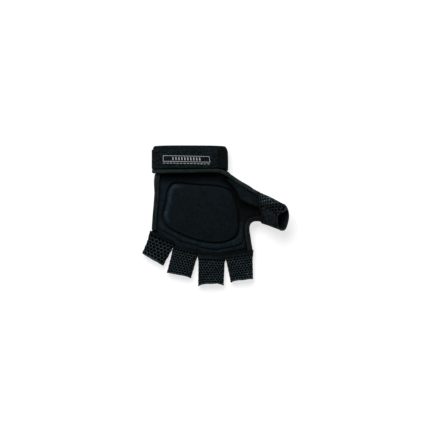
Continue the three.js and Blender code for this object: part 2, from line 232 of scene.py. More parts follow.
@dataclass
class Cloth:
    """A mesh under construction: points in millimetres, faces, and a place on the cloth for each corner."""

    points: list[np.ndarray] = field(default_factory=list)
    faces: list[tuple[int, ...]] = field(default_factory=list)
    places: list[tuple[tuple[float, float], ...]] = field(default_factory=list)
    cells: list[bool] = field(default_factory=list)
    plains: list[bool] = field(default_factory=list)
    count: int = 0

    def add_points(self, points: np.ndarray) -> int:
        """Add points and return the index of the first.

        Args:
            points: the points, in millimetres.

        Returns:
            The index of the first.
        """
        first = self.count
        self.points.append(np.asarray(points, float))
        self.count += len(points)
        return first

    def add_face(
        self,
        corners: Sequence[int],
        places: Sequence[tuple[float, float]],
        cell: bool = False,
        plain: bool = False,
    ) -> None:
        """Add one face.

        Args:
            corners: indices of its points.
            places: the cloth's own coordinates of each corner, in millimetres.
            cell: whether the face is a cell of the open mesh.
            plain: whether the face is ribbed cloth without holes.
        """
        self.faces.append(tuple(corners))
        self.places.append(tuple(places))
        self.cells.append(cell)
        self.plains.append(plain)

    def loft(self, rings: Sequence[np.ndarray], looped: bool = False) -> None:
        """Join closed rings of equally many points by quads.

        Args:
            rings: the rings, in order.
            looped: whether the last ring joins the first; otherwise both are closed by a fan.
        """
        width = len(rings[0])
        firsts = [self.add_points(ring) for ring in rings]
        around = walked(closed_line(rings[0]))
        along = 0.0
        for i in range(len(rings) if looped else len(rings) - 1):
            k = (i + 1) % len(rings)
            a, b = firsts[i], firsts[k]
            ahead = along + float(np.mean(np.linalg.norm(rings[k] - rings[i], axis=1)))
            for j in range(width):
                m = (j + 1) % width
                left, right = around[j], around[j + 1]
                places = ((left, along), (right, along), (right, ahead), (left, ahead))
                self.add_face((a + j, a + m, b + m, b + j), places)
            along = ahead
        if not looped:
            for ring, first, flip in ((rings[0], firsts[0], True), (rings[-1], firsts[-1], False)):
                middle = np.mean(ring, axis=0)
                hub = self.add_points(middle[None, :])
                for j in range(width):
                    m = (j + 1) % width
                    corners = (first + m, first + j, hub) if flip else (first + j, first + m, hub)
                    at = [ring[c - first] if c != hub else middle for c in corners]
                    self.add_face(corners, [(p[0], p[1]) for p in at])

    def to_object(self, name: str) -> bpy.types.Object:
        """A Blender object of this mesh, closed and facing outwards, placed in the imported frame.

        Args:
            name: the new object's name.

        Returns:
            The object.
        """
        mesh = bpy.data.meshes.new(name)
        mesh.from_pydata([tuple(p) for p in in_frame(np.vstack(self.points))], [], self.faces)
        uv = mesh.uv_layers.new(name="UVMap")
        uv.data.foreach_set("uv", np.array([p for face in self.places for p in face]).ravel() * MM)
        for label, marks in (("cell", self.cells), ("plain", self.plains)):
            layer = mesh.attributes.new(label, "BOOLEAN", "FACE")
            layer.data.foreach_set("value", marks)
        work = bmesh.new()
        work.from_mesh(mesh)
        bmesh.ops.remove_doubles(work, verts=work.verts, dist=1e-6)
        bmesh.ops.recalc_face_normals(work, faces=work.faces)
        work.to_mesh(mesh)
        work.free()
        mesh.shade_smooth()
        return put(name, mesh)


def lofted(name: str, rings: Sequence[np.ndarray], looped: bool = False) -> bpy.types.Object:
    """An object made by joining rings, which end in caps or else in each other.

    Args:
        name: the new object's name.
        rings: closed rings of equally many points.
        looped: whether the last ring joins the first.

    Returns:
        The object.
    """
    cloth = Cloth()
    cloth.loft(rings, looped)
    return cloth.to_object(name)


def places_of(piece: bpy.types.Object) -> np.ndarray:
    """A piece's points in the tables' millimetres.

    Args:
        piece: the piece.

    Returns:
        One row for each point.
    """
    flat = np.empty(3 * len(piece.data.vertices))
    piece.data.vertices.foreach_get("co", flat)
    return flat.reshape(-1, 3) / MM - SHIFT


def shade(piece: bpy.types.Object, amounts: np.ndarray) -> None:
    """Store painted shade and painted highlights: how much lighter or darker than its finish a piece is.

    Args:
        piece: the piece.
        amounts: one share for each point; 0 leaves the finish as it is and -1 makes it black.
    """
    layer = piece.data.attributes.get("shade") or piece.data.attributes.new("shade", "FLOAT", "POINT")
    layer.data.foreach_set("value", np.maximum(amounts, -0.99))


def off_line(points: np.ndarray, line: np.ndarray) -> np.ndarray:
    """Each point's distance in the plane from a line of points."""
    return np.min([np.hypot(points[:, 0] - at[0], points[:, 1] - at[1]) for at in line], axis=0)


def polyline(name: str, lines: Sequence[np.ndarray]) -> bpy.types.Object:
    """An object whose mesh holds only edges, one chain for each line of points in millimetres.

    Args:
        name: the new object's name.
        lines: the lines of points.

    Returns:
        The object.
    """
    points: list[tuple[float, ...]] = []
    edges: list[tuple[int, int]] = []
    for line in lines:
        first = len(points)
        points.extend(tuple(p) for p in in_frame(np.asarray(line, float)))
        edges.extend((first + k, first + k + 1) for k in range(len(line) - 1))
    mesh = bpy.data.meshes.new(name)
    mesh.from_pydata(points, edges, [])
    return put(name, mesh)


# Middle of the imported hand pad's box, in the tables' millimetres
PAD_MIDDLE = np.array((-18.70, 3.24))

# Outline of the hand pad, clockwise
PAD_ROWS = (
    (-51.6, 38.9), (-21.3, 37.6), (5.9, 35.4), (19.8, 28.0), (26.8, 11.0), (27.8, -4.0), (27.8, -17.5),
    (25.2, -24.6), (19.6, -28.8), (8.0, -32.9), (-14.0, -32.2), (-38.0, -24.9), (-59.4, -12.6),
    (-64.4, -1.0), (-60.9, 15.8), (-57.4, 32.5),
)


def pad_outline(count: int, inset: float) -> np.ndarray:
    """The hand pad's outline in the plane, drawn in towards the palm's centre by inset.

    Args:
        count: number of points.
        inset: how far the outline is drawn in.

    Returns:
        The points.
    """
    outline = spaced(smooth_path(PAD_ROWS, 40, closed=True), count, closed=True)
    away = outline - PALM_CENTRE
    reach = np.linalg.norm(away, axis=1, keepdims=True)
    return PALM_CENTRE + away * (1 - inset / reach)


def frame_shift() -> np.ndarray:
    """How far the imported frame's origin lies from the tables', read off the hand pad."""
    low, high = (np.array(corner)[:2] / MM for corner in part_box("hand_pad"))
    return np.append((low + high) / 2 - PAD_MIDDLE, 0.0)


SHIFT = frame_shift()


def in_frame(points: np.ndarray) -> np.ndarray:
    """Points of the tables, in millimetres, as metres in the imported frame."""
    return (points + SHIFT) * MM


@dataclass
class NodeMaker:
    """A node tree under construction, for a material or for Geometry Nodes."""

    tree: bpy.types.NodeTree

    def feed(self, node: bpy.types.Node, inputs: Inputs) -> None:
        """Set a node's inputs, by name or position, to values or link them to output sockets.

        Args:
            node: the node.
            inputs: values or output sockets, by name or position.
        """
        for key, value in inputs.items():
            if isinstance(value, Socket):
                self.tree.links.new(value, node.inputs[key])
            else:
                node.inputs[key].default_value = value

    def add(self, kind: str, inputs: Inputs | None = None, **settings: Any) -> bpy.types.Node:
        """Add a node.

        Args:
            kind: the node's type name.
            inputs: values or output sockets for its inputs, by name or position.
            settings: values for the node's own properties.

        Returns:
            The new node.
        """
        node = self.tree.nodes.new(kind)
        for name, value in settings.items():
            setattr(node, name, value)
        self.feed(node, inputs or {})
        return node

    def out(self, kind: str, inputs: Inputs | None = None, **settings: Any) -> Socket:
        """The first output of a new node, which is given as for add."""
        return self.add(kind, inputs, **settings).outputs[0]

    def math(self, operation: str, *values: Any) -> Socket:
        """The output of a Math node on one to three values or sockets."""
        return self.out("ShaderNodeMath", dict(enumerate(values)), operation=operation)

    def noise(self, place: Socket, scale: float, detail: float, roughness: float = 0.5) -> Socket:
        """A noise pattern's value at a place."""
        inputs = {"Vector": place, "Scale": scale, "Detail": detail, "Roughness": roughness}
        return self.out("ShaderNodeTexNoise", inputs)

    def remap(self, value: Socket, low: float, high: float, start: float = 0.0, end: float = 1.0) -> Socket:
        """A value brought from the range low to high into the range start to end, and kept in it."""
        inputs = {"Value": value, "From Min": low, "From Max": high, "To Min": start, "To Max": end}
        return self.out("ShaderNodeMapRange", inputs)


class GeometryTree(NodeMaker):
    """A Geometry Nodes tree with named inputs."""

    def __init__(self, name: str, inputs: dict[str, tuple[str, Any]]) -> None:
        """Start a tree.

        Args:
            name: the tree's name.
            inputs: for each input its socket type's last word and default value.
        """
        super().__init__(bpy.data.node_groups.new(name, "GeometryNodeTree"))
        face = self.tree.interface
        face.new_socket("Geometry", in_out="INPUT", socket_type="NodeSocketGeometry")
        face.new_socket("Geometry", in_out="OUTPUT", socket_type="NodeSocketGeometry")
        for label, (kind, default) in inputs.items():
            socket = face.new_socket(label, in_out="INPUT", socket_type=f"NodeSocket{kind}")
            if default is not None:
                socket.default_value = default
        self.given = self.tree.nodes.new("NodeGroupInput").outputs

    def marks(self, name: str) -> Socket:
        """Which faces a named attribute marks."""
        return self.out("GeometryNodeInputNamedAttribute", {"Name": name}, data_type="BOOLEAN")

    def end(self, geometry: Socket, material: Socket, marked: dict[str, Socket] | None = None) -> None:
        """Finish the tree with smooth shading, real geometry and its materials.

        Args:
            geometry: what the tree has made.
            material: the material of all its faces.
            marked: by attribute name, the materials of the faces that the attribute marks.
        """
        made = self.out("GeometryNodeSetShadeSmooth", {"Geometry": geometry})
        made = self.out("GeometryNodeRealizeInstances", {"Geometry": made})
        made = self.out("GeometryNodeSetMaterial", {"Geometry": made, "Material": material})
        for name, other in (marked or {}).items():
            inputs = {"Geometry": made, "Selection": self.marks(name), "Material": other}
            made = self.out("GeometryNodeSetMaterial", inputs)
        self.add("NodeGroupOutput", {0: made})

    def make(self, source: bpy.types.Object, name: str, values: dict[str, Any]) -> bpy.types.Object:
        """Run the tree on an object and keep what it makes as a plain mesh.

        Args:
            source: the object that the tree starts from; it is removed.
            name: the new piece's name.
            values: the tree's inputs by name.

        Returns:
            The new piece.
        """
        modifier = source.modifiers.new(self.tree.name, "NODES")
        modifier.node_group = self.tree
        for item in self.tree.interface.items_tree:
            if item.in_out == "INPUT" and item.name in values:
                modifier[item.identifier] = values[item.name]
        mesh = baked(source)
        bpy.data.objects.remove(source)
        mesh.name = name
        return put(name, mesh)


# Scales of the cloths' noise patterns, from broad patches to single fibres
PATCHES = 130.0
KNOTS = 480.0
GRAIN = 900.0
FLUFF = 2600.0


@dataclass(frozen=True)
class Finish:
    """A cloth, thread or print finish.

    Attributes:
        name: the material's name.
        colour: its middle tone.
        light: how much lighter the lightest yarns are.
        roughness: the surface's roughness.
        gloss: its specular level.
        sheen: its sheen, at grazing angles.
        weave: how its yarns show.
        space: what its pattern follows.
        pitch: distance between yarns, in millimetres.
        relief: height of the yarns, in millimetres.
        lint: how bright its loose fibres are.
        speckle: how much its tone varies from knot to knot.
    """

    name: str
    colour: tuple[float, float, float]
    light: float = 1.9
    roughness: float = 0.75
    gloss: float = 0.03
    sheen: float = 0.015
    weave: Weave = Weave.JERSEY
    space: Space = Space.OBJECT
    pitch: float = 0.7
    relief: float = 0.08
    lint: float = 0.25
    speckle: float = 0.15

    def yarns(self, nodes: NodeMaker, place: Socket) -> Socket:
        """The yarns' height from 0 to 1 at a place on the cloth.

        Args:
            nodes: the material's nodes.
            place: the place on the cloth.

        Returns:
            The height.
        """

        def bands(direction: str, pitch: float, shift: Any = 0.0) -> Socket:
            """Soft bands across a direction, shifted by a phase."""
            inputs = {"Vector": place, "Scale": math.pi / (10 * pitch * MM), "Phase Offset": shift}
            return nodes.add("ShaderNodeTexWave", inputs, bands_direction=direction).outputs["Fac"]

        if self.weave is Weave.RIB:
            return nodes.math("MULTIPLY_ADD", bands("X", self.pitch), 1.6, -0.3)
        across = bands("X", self.pitch)
        if self.weave is Weave.PLAIN:
            return nodes.math("MULTIPLY", across, bands("Y", self.pitch))
        legs = nodes.math("MULTIPLY", across, 3.0)
        return nodes.math("MULTIPLY", across, bands("Y", 0.8 * self.pitch, legs))

    def material(self) -> bpy.types.Material:
        """The finish as a Blender material.

        Returns:
            The material.
        """
        made = bpy.data.materials.new(self.name)
        made.use_nodes = True
        nodes = NodeMaker(made.node_tree)
        places = nodes.add("ShaderNodeTexCoord").outputs
        solid = places["Object"]
        yarn = self.yarns(nodes, places[self.space.value])
        broad = nodes.noise(solid, PATCHES, 6.0, 0.75)
        fine = nodes.noise(solid, GRAIN, 2.0)
        mottle = nodes.remap(broad, 0.32, 0.68)
        lint = nodes.remap(nodes.noise(solid, FLUFF, 1.0), 0.72, 0.86, end=self.lint)
        knots = nodes.remap(nodes.noise(solid, KNOTS, 1.0), 0.36, 0.64, -self.speckle, self.speckle)
        tone = nodes.math("MULTIPLY_ADD", yarn, 0.3, nodes.math("MULTIPLY", mottle, 0.5))
        tone = nodes.math("MULTIPLY_ADD", fine, 0.35, tone)
        tone = nodes.math("ADD", nodes.math("ADD", tone, lint), knots)
        dark, light = ([c * level for c in self.colour] + [1.0] for level in (2 - self.light, self.light))
        mix = nodes.add(
            "ShaderNodeMix", {"Factor": tone, 6: dark, 7: light}, data_type="RGBA", clamp_factor=False
        ).outputs[2]
        # The shade attribute scales the colour: painted shade and painted highlights, with random tone and
        # lighter specks
        tone_marks = nodes.add("ShaderNodeAttribute", attribute_name="shade").outputs["Fac"]
        inputs = {0: mix, "Scale": nodes.math("ADD", tone_marks, 1.0)}
        height = nodes.math("MULTIPLY_ADD", fine, 0.4, yarn)
        bump = {"Height": height, "Distance": self.relief * MM, "Strength": 0.8}
        nodes.feed(
            made.node_tree.nodes["Principled BSDF"],
            {
                "Base Color": nodes.out("ShaderNodeVectorMath", inputs, operation="SCALE"),
                "Roughness": nodes.remap(broad, 0.3, 0.7, self.roughness - 0.06, self.roughness + 0.06),
                "Normal": nodes.out("ShaderNodeBump", bump),
                "Specular IOR Level": self.gloss,
                "Sheen Weight": self.sheen,
                "Sheen Roughness": 0.5,
            },
        )
        return made


LINING = Finish("lining_cloth", (0.0012, 0.0026, 0.0036), pitch=0.6, relief=0.06)
SPACER = Finish("spacer_mesh", (0.0146, 0.0228, 0.0268), space=Space.CLOTH, pitch=0.55, relief=0.12)
TAPE = Finish("binding_tape", (0.0047, 0.008, 0.008), weave=Weave.PLAIN, pitch=0.5, relief=0.07, sheen=0.03)
FINISHES = {
    "lining": LINING,
    "outer": replace(LINING, name="outer_cloth", weave=Weave.PLAIN, pitch=0.45),
    "mesh": SPACER,
    # Near-black sides and floors of the knit's holes: painted shade in the holes
    "hollow": replace(SPACER, name="mesh_hole_shade", colour=(0.0003, 0.0005, 0.0006), roughness=0.9, sheen=0.0),
    "ribbed": replace(
        SPACER, name="ribbed_mesh", colour=(0.005, 0.0082, 0.01), weave=Weave.RIB, pitch=2.6, speckle=0.5
    ),
    "neoprene": replace(LINING, name="neoprene", colour=(0.0007, 0.0018, 0.0021)),
    "strap": replace(LINING, name="strap_cloth", colour=(0.0012, 0.0027, 0.0034), pitch=0.5, speckle=0.6),
    "tape": TAPE,
    "thread": replace(TAPE, name="thread", colour=(0.0062, 0.0088, 0.0088), pitch=0.3),
    "print": Finish(
        "white_print", (0.205, 0.213, 0.218), light=1.1, weave=Weave.PLAIN, relief=0.02, lint=0.0
    ),
}


@dataclass(frozen=True)
class Wardrobe:
    """Every finish of the glove as a material."""

    lining: bpy.types.Material
    outer: bpy.types.Material
    mesh: bpy.types.Material
    hollow: bpy.types.Material
    ribbed: bpy.types.Material
    neoprene: bpy.types.Material
    strap: bpy.types.Material
    tape: bpy.types.Material
    thread: bpy.types.Material
    print: bpy.types.Material

    @classmethod
    def cut(cls) -> "Wardrobe":
        """Make the materials."""
        return cls(**{name: finish.material() for name, finish in FINISHES.items()})


def dress(
    piece: bpy.types.Object,
    material: bpy.types.Material | None = None,
    stands_for: str | None = None,
) -> bpy.types.Object:
    """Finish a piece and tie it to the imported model.

    Args:
        piece: the piece.
        material: its material, or None where its mesh has its own already.
        stands_for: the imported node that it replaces, if any.

    Returns:
        The piece.
    """
    if material is not None:
        piece.data.materials.clear()
        piece.data.materials.append(material)
    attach(piece, BODY)
    if stands_for:
        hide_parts(stands_for)
    LOG.info("%s: %d faces", piece.name, len(piece.data.polygons))
    return piece


def in_metres(sizes: dict[str, float]) -> dict[str, tuple[str, float]]:
    """Inputs of a Geometry Nodes tree for sizes in millimetres."""
    return {label: ("Float", size * MM) for label, size in sizes.items()}


class Sewing:
    """Stitches, bindings and open mesh, each by one Geometry Nodes tree."""

    def __init__(self, thread: bpy.types.Material) -> None:
        """Build the three trees.

        Args:
            thread: the material of every stitch.
        """
        self.thread = thread
        self.stitch_tree = self.make_stitch_tree()
        self.binding_tree = self.make_binding_tree()
        self.mesh_tree = self.make_mesh_tree()

    @staticmethod
    def make_stitch_tree() -> GeometryTree:
        """A tree that lays one short thread after another along lines.

        Returns:
            The tree.
        """
        sizes = {"Pitch": 2.6, "Length": 2.0, "Thickness": 0.45}
        t = GeometryTree("stitches", {**in_metres(sizes), "Thread": ("Material", None)})
        line = t.out("GeometryNodeMeshToCurve", {"Mesh": t.given["Geometry"]})
        run = t.add("GeometryNodeResampleCurve", {"Curve": line}, mode="LENGTH")
        t.feed(run, {"Length": t.given["Pitch"]})
        bead = t.out("GeometryNodeMeshUVSphere", {"Segments": 8, "Rings": 6, "Radius": 0.5})
        thickness = t.given["Thickness"]
        size = t.out("ShaderNodeCombineXYZ", {0: t.given["Length"], 1: thickness, 2: thickness})
        thread = t.out("GeometryNodeTransform", {"Geometry": bead, "Scale": size})
        tangent = t.out("GeometryNodeInputTangent")
        turn = t.out("FunctionNodeAlignRotationToVector", {"Vector": tangent}, axis="X")
        inputs = {"Points": run.outputs[0], "Instance": thread, "Rotation": turn}
        t.end(t.out("GeometryNodeInstanceOnPoints", inputs), t.given["Thread"])
        return t

    @staticmethod
    def make_binding_tree() -> GeometryTree:
        """A tree that sweeps a folded tape along a line, with a furrow where it is sewn down.

        Returns:
            The tree.
        """
        sizes = in_metres({"Width": 4.4, "Height": 4.6, "Furrow": 0.8})
        t = GeometryTree("binding", {**sizes, "Points": ("Int", 120), "Tape": ("Material", None)})
        line = t.out("GeometryNodeMeshToCurve", {"Mesh": t.given["Geometry"]})
        run = t.out("GeometryNodeResampleCurve", {"Curve": line, "Count": t.given["Points"]})
        upright = t.out("GeometryNodeSetCurveNormal", {"Curve": run}, mode="Z_UP")
        circle = t.out("GeometryNodeCurvePrimitiveCircle", {"Resolution": 40, "Radius": 1.0})
        at = t.add("ShaderNodeSeparateXYZ", {0: t.out("GeometryNodeInputPosition")})
        x, y = at.outputs[0], at.outputs[1]
        # The sweep turns the section's +Y down, so its upper side has negative Y
        hump = t.math("POWER", 2.0, t.math("MULTIPLY", t.math("MULTIPLY", x, x), -40.0))
        top = t.math("GREATER_THAN", t.math("MULTIPLY", y, -1.0), 0.0)
        drop = t.math("MULTIPLY", t.math("MULTIPLY", hump, top), t.given["Furrow"])
        wide = t.math("MULTIPLY", x, t.math("MULTIPLY", t.given["Width"], 0.5))
        high = t.math("MULTIPLY_ADD", y, t.math("MULTIPLY", t.given["Height"], 0.5), drop)
        place = t.out("ShaderNodeCombineXYZ", {0: wide, 1: high, 2: 0.0})
        section = t.out("GeometryNodeSetPosition", {"Geometry": circle, "Position": place})
        inputs = {"Curve": upright, "Profile Curve": section, "Fill Caps": True}
        t.end(t.out("GeometryNodeCurveToMesh", inputs), t.given["Tape"])
        return t

    @staticmethod
    def make_mesh_tree() -> GeometryTree:
        """A tree that sinks a rounded hole into every cell of a sleeve and rounds the yarn ridges.

        Returns:
            The tree.
        """
        sizes = {"Hole": ("Float", 0.93), **in_metres({"Lip": 0.4, "Depth": 0.8}), "Levels": ("Int", 2)}
        materials = {label: ("Material", None) for label in ("Yarn", "Hollow", "Ribbed")}
        t = GeometryTree("open_mesh", {**sizes, **materials})

        def step(mesh: Socket, chosen: Socket, depth: str, scale: Any) -> tuple[Any, Socket]:
            """Push faces in by a depth and draw them together, and give the push's outputs and the mesh.

            Args:
                mesh: the mesh.
                chosen: which of its faces move.
                depth: the input that says how far.
                scale: how small they are drawn.

            Returns:
                The push's outputs and the drawn mesh.
            """
            inward = t.math("MULTIPLY", t.given[depth], -1.0)
            inputs = {"Mesh": mesh, "Selection": chosen, "Offset Scale": inward}
            pushed = t.add("GeometryNodeExtrudeMesh", inputs).outputs
            inputs = {"Geometry": pushed["Mesh"], "Selection": pushed["Top"], "Scale": scale}
            return pushed, t.out("GeometryNodeScaleElements", inputs)

        lip, drawn = step(t.given["Geometry"], t.marks("cell"), "Lip", t.given["Hole"])
        sunk, floor = step(drawn, lip["Top"], "Depth", 0.8)
        inside = t.math("MAXIMUM", sunk["Top"], sunk["Side"])
        inputs = {"Geometry": floor, "Name": "hollow", "Value": inside}
        marked = t.out("GeometryNodeStoreNamedAttribute", inputs, data_type="BOOLEAN", domain="FACE")
        fine = t.out("GeometryNodeSubdivisionSurface", {"Mesh": marked, "Level": t.given["Levels"]})
        # The holes' sunk faces take the hollow material, which is painted shade
        t.end(fine, t.given["Yarn"], {"hollow": t.given["Hollow"], "plain": t.given["Ribbed"]})
        return t

    def stitches(self, name: str, lines: Sequence[np.ndarray], **sizes: float) -> bpy.types.Object:
        """Stitches along lines.

        Args:
            name: the piece's name.
            lines: lines of points in millimetres, on the surface that is sewn.
            sizes: Pitch, Length and Thickness in millimetres, where they differ from the tree's own.

        Returns:
            The stitches as one piece.
        """
        values = {label: size * MM for label, size in sizes.items()}
        made = self.stitch_tree.make(polyline(name, lines), name, {**values, "Thread": self.thread})
        return dress(made)


@dataclass(frozen=True)
class Section:
    """One cross-section of a sleeve, from one side edge to the other, in millimetres."""

    from_x: float
    from_y: float
    to_x: float
    to_y: float
    base: float
    depth: float
    lean_x: float = 0.0
    lean_y: float = 0.0
    bow: float = 0.0


class Tube:
    """The surface of a flattened sleeve through a few sections."""

    # Points of a dense ring, and places at which the tube's length is measured
    DENSE = 720
    MEASURED = 200

    def __init__(self, sections: Sequence[Section], power: float) -> None:
        """Fit the tube.

        Args:
            sections: the sections, from the hand outwards.
            power: the power of the superellipse that each section follows.
        """
        self.rows = np.array([astuple(s) for s in sections])
        self.power = power
        self.spans = np.linspace(0, len(self.rows) - 1, self.MEASURED)
        middles = np.array([self.middle(self.row_at(t)) for t in self.spans])
        self.lengths = walked(middles)
        self.length = float(self.lengths[-1])
        turns = np.linspace(0, 2 * np.pi, self.DENSE + 1)
        self.bend_x, self.bend_z = (
            np.sign(f(turns)) * np.abs(f(turns)) ** (2 / power) for f in (np.cos, np.sin)
        )

    @staticmethod
    def middle(row: np.ndarray) -> np.ndarray:
        """The middle of a section."""
        return np.array(((row[0] + row[2]) / 2, (row[1] + row[3]) / 2, row[4] + row[5] / 2))

    def row_at(self, t: float) -> np.ndarray:
        """The section at a place among the rows, on a smooth curve through each column.

        Args:
            t: the place, from 0 at the first row on.

        Returns:
            The section's values.
        """
        last = len(self.rows) - 1
        i = int(min(max(math.floor(t), 0), last - 1))
        before, a, b, after = (self.rows[min(max(i + k, 0), last)] for k in (-1, 0, 1, 2))
        u = t - i
        start, end = (b - before) / 2, (after - a) / 2
        return (
            (2 * u**3 - 3 * u**2 + 1) * a
            + (u**3 - 2 * u**2 + u) * start
            + (3 * u**2 - 2 * u**3) * b
            + (u**3 - u**2) * end
        )

    def loop(self, along: float, inset: float) -> np.ndarray:
        """A dense ring at a distance along the tube, inset from the outer surface.

        Args:
            along: distance along the tube.
            inset: distance inside the outer surface.

        Returns:
            The ring's points, from the thumb's side over the top.
        """
        place = float(np.interp(along, self.lengths, self.spans))
        past = min(along, 0.0) + max(along - self.length, 0.0)
        row = self.row_at(place + past * (len(self.rows) - 1) / self.length)
        across = np.array((row[2] - row[0], row[3] - row[1]))
        half_width = np.linalg.norm(across) / 2 - inset
        across = across / np.linalg.norm(across)
        ahead = np.array((across[1], -across[0]))
        c, s = self.bend_x, self.bend_z
        bow = row[8] * (1 - c**4)
        middle = self.middle(row)
        x = middle[0] + across[0] * half_width * c + ahead[0] * bow + row[6] / 2 * s
        y = middle[1] + across[1] * half_width * c + ahead[1] * bow + row[7] / 2 * s
        z = middle[2] + (row[5] / 2 - inset) * s
        return np.column_stack((x, y, z))

    def girth(self, along: float) -> float:
        """The distance round the tube."""
        return float(walked(self.loop(along, 0.0))[-1])

    def ring(self, along: Any, inset: float, shares: np.ndarray) -> np.ndarray:
        """Points at even shares of the way round the tube.

        Args:
            along: distance along the tube, one for all or one for each point.
            inset: distance inside the outer surface.
            shares: each point's share of the way round, from 0 to 1.

        Returns:
            One point for each share.
        """
        distances = np.broadcast_to(np.asarray(along, float), shares.shape)
        points = np.zeros((len(shares), 3))
        for distance in np.unique(distances.round(4)):
            loop = self.loop(distance, inset)
            far = walked(loop)
            chosen = np.isclose(distances, distance, atol=1e-3)
            for k in range(3):
                points[chosen, k] = np.interp(shares[chosen] * far[-1], far, loop[:, k])
        return points


@dataclass
class MeshSleeve:
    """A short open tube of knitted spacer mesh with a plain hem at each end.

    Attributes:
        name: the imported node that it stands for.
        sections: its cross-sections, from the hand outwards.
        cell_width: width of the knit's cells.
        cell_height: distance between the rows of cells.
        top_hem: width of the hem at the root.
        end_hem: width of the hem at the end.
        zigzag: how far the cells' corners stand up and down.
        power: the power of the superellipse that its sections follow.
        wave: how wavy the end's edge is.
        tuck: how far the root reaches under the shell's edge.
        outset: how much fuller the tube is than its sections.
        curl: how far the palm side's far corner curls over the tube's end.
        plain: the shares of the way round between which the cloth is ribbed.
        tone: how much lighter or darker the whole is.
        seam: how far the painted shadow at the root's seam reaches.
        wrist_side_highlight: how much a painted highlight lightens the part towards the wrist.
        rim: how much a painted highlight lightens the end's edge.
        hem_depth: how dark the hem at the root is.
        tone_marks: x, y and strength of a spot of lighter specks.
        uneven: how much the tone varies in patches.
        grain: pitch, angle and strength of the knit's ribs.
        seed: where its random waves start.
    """

    name: str
    sections: tuple[Section, ...]
    cell_width: float = 3.5
    cell_height: float = 2.9
    top_hem: float = 2.0
    end_hem: float = 1.6
    zigzag: float = 0.5
    power: float = 2.5
    wave: float = 0.9
    tuck: float = 2.2
    outset: float = 0.1
    curl: float = 0.0
    plain: tuple[float, float] = (1.0, 1.0)
    tone: float = 0.0
    seam: float = 3.8
    wrist_side_highlight: float = 0.0
    rim: float = 0.0
    hem_depth: float = 0.0
    tone_marks: tuple[float, float, float] = (0.0, 0.0, 0.0)
    uneven: float = 0.3
    grain: tuple[float, float, float] = (3.4, 0.0, 0.0)
    seed: float = 0.0

    # The cloth's folded edges, the rings' distance in a hem and how far the hem stands up
    EDGE = 0.45
    HEM_STEP = 0.8
    HEM_RISE = 0.1
    # How much fuller the root is, and over which distances from it that falls off
    ROOT_FULL = 0.68
    ROOT_REACH = (9.5, 6.0)
    # Scale round the tube and length of the end edge's waves, and the way that its palm corner curls
    EDGE_WAVES = (40.0, 11.0)
    CURL_WAY = (1.0, -0.05, -0.35)
    # How dark the painted shadow at the seam and the painted shade in the lining and on the folded sides are
    SEAM_SHADOW = 0.96
    LINING_SHADE = 0.98
    SIDE_SHADE = 0.6
    # Least height of the outer face, and the size and length of the surface's waves
    FLOOR = 0.3
    DENT = 0.25
    DENT_LENGTH = 11.0
    # Lengths of the tone's patches and of the spot's lighter specks, and the spot's width
    PATCH = 5.2
    SPECK = 1.9
    SPOT = 4.5

    def __post_init__(self) -> None:
        """Fit the tube and count the cells."""
        self.tube = Tube(self.sections, self.power)
        self.length = self.tube.length
        inner = self.length - self.top_hem - self.end_hem
        self.rows = round(inner / self.cell_height)
        self.pitch = inner / self.rows
        self.girth = self.tube.girth(self.length / 2)
        self.around = 2 * round(self.girth / self.cell_width)
        self.shares = np.arange(self.around) / self.around

    def bent(self, along: Any, inset: float) -> np.ndarray:
        """A ring of the sleeve as it lies, with its end edge and its surface a little wavy.

        Args:
            along: distance along the tube, one for all or one for each point.
            inset: distance inside the outer surface.

        Returns:
            The points.
        """
        distance = np.asarray(along, float) * np.ones(self.around)
        reach = np.clip(distance / self.length, 0.0, 1.0)
        scale, length = self.EDGE_WAVES
        edge = self.wave * ripple(scale * self.shares, 0.0, length, self.seed) * reach**3
        fuller = self.outset + self.ROOT_FULL * float(smoothstep(*self.ROOT_REACH, np.mean(distance)))
        points = self.tube.ring(distance + edge, inset - fuller, self.shares)
        points[:, 2] += self.DENT * ripple(points[:, 0], points[:, 1], self.DENT_LENGTH, self.seed)
        # The lower side lies flat on the table
        points[:, 2] = np.maximum(points[:, 2], self.FLOOR + max(inset, 0.0))
        # The palm side's far corner curls over the tube's end
        palm = smoothstep(0.0, 0.1, self.shares) * (self.shares < 0.5) * smoothstep(1.0, 7.0, points[:, 1])
        points += np.outer(self.curl * palm * reach**2.5, self.CURL_WAY)
        return points

    def courses(self) -> list[tuple[np.ndarray, float, int]]:
        """The rings of the cloth, out over the outer face and back along the inner one.

        Returns:
            Each ring's points, its distance along the cloth and its row of cells, or -1 for plain cloth.
        """
        length, edge, start = self.length, self.EDGE, -self.tuck
        plain = [(start, start, edge), (start + edge, start + edge, 0.0)]
        hem = np.arange(0.0, self.top_hem - 0.5, self.HEM_STEP)
        plain += [(along, along, -self.HEM_RISE) for along in hem]
        found = [(self.bent(along, inset), place, -1) for along, place, inset in plain]
        index = np.arange(self.around)
        for row in range(self.rows + 1):
            lift = 0.0 if row in (0, self.rows) else self.zigzag
            place = self.top_hem + row * self.pitch
            along = place + np.where((index - row) % 2 == 1, -lift, lift)
            found.append((self.bent(along, 0.0), place, row if row < self.rows else -1))
        plain = [(length - edge, length - edge, 0.0)]
        plain += [(length, length, inset) for inset in (edge, MESH_WALL - edge)]
        for share in (0.98, 0.75, 0.5, 0.25, 0.02):
            plain.append((share * length, (2 - share) * length, MESH_WALL))
        plain.append((start, 2 * length + self.tuck, MESH_WALL - edge))
        return found + [(self.bent(along, inset), place, -1) for along, place, inset in plain]

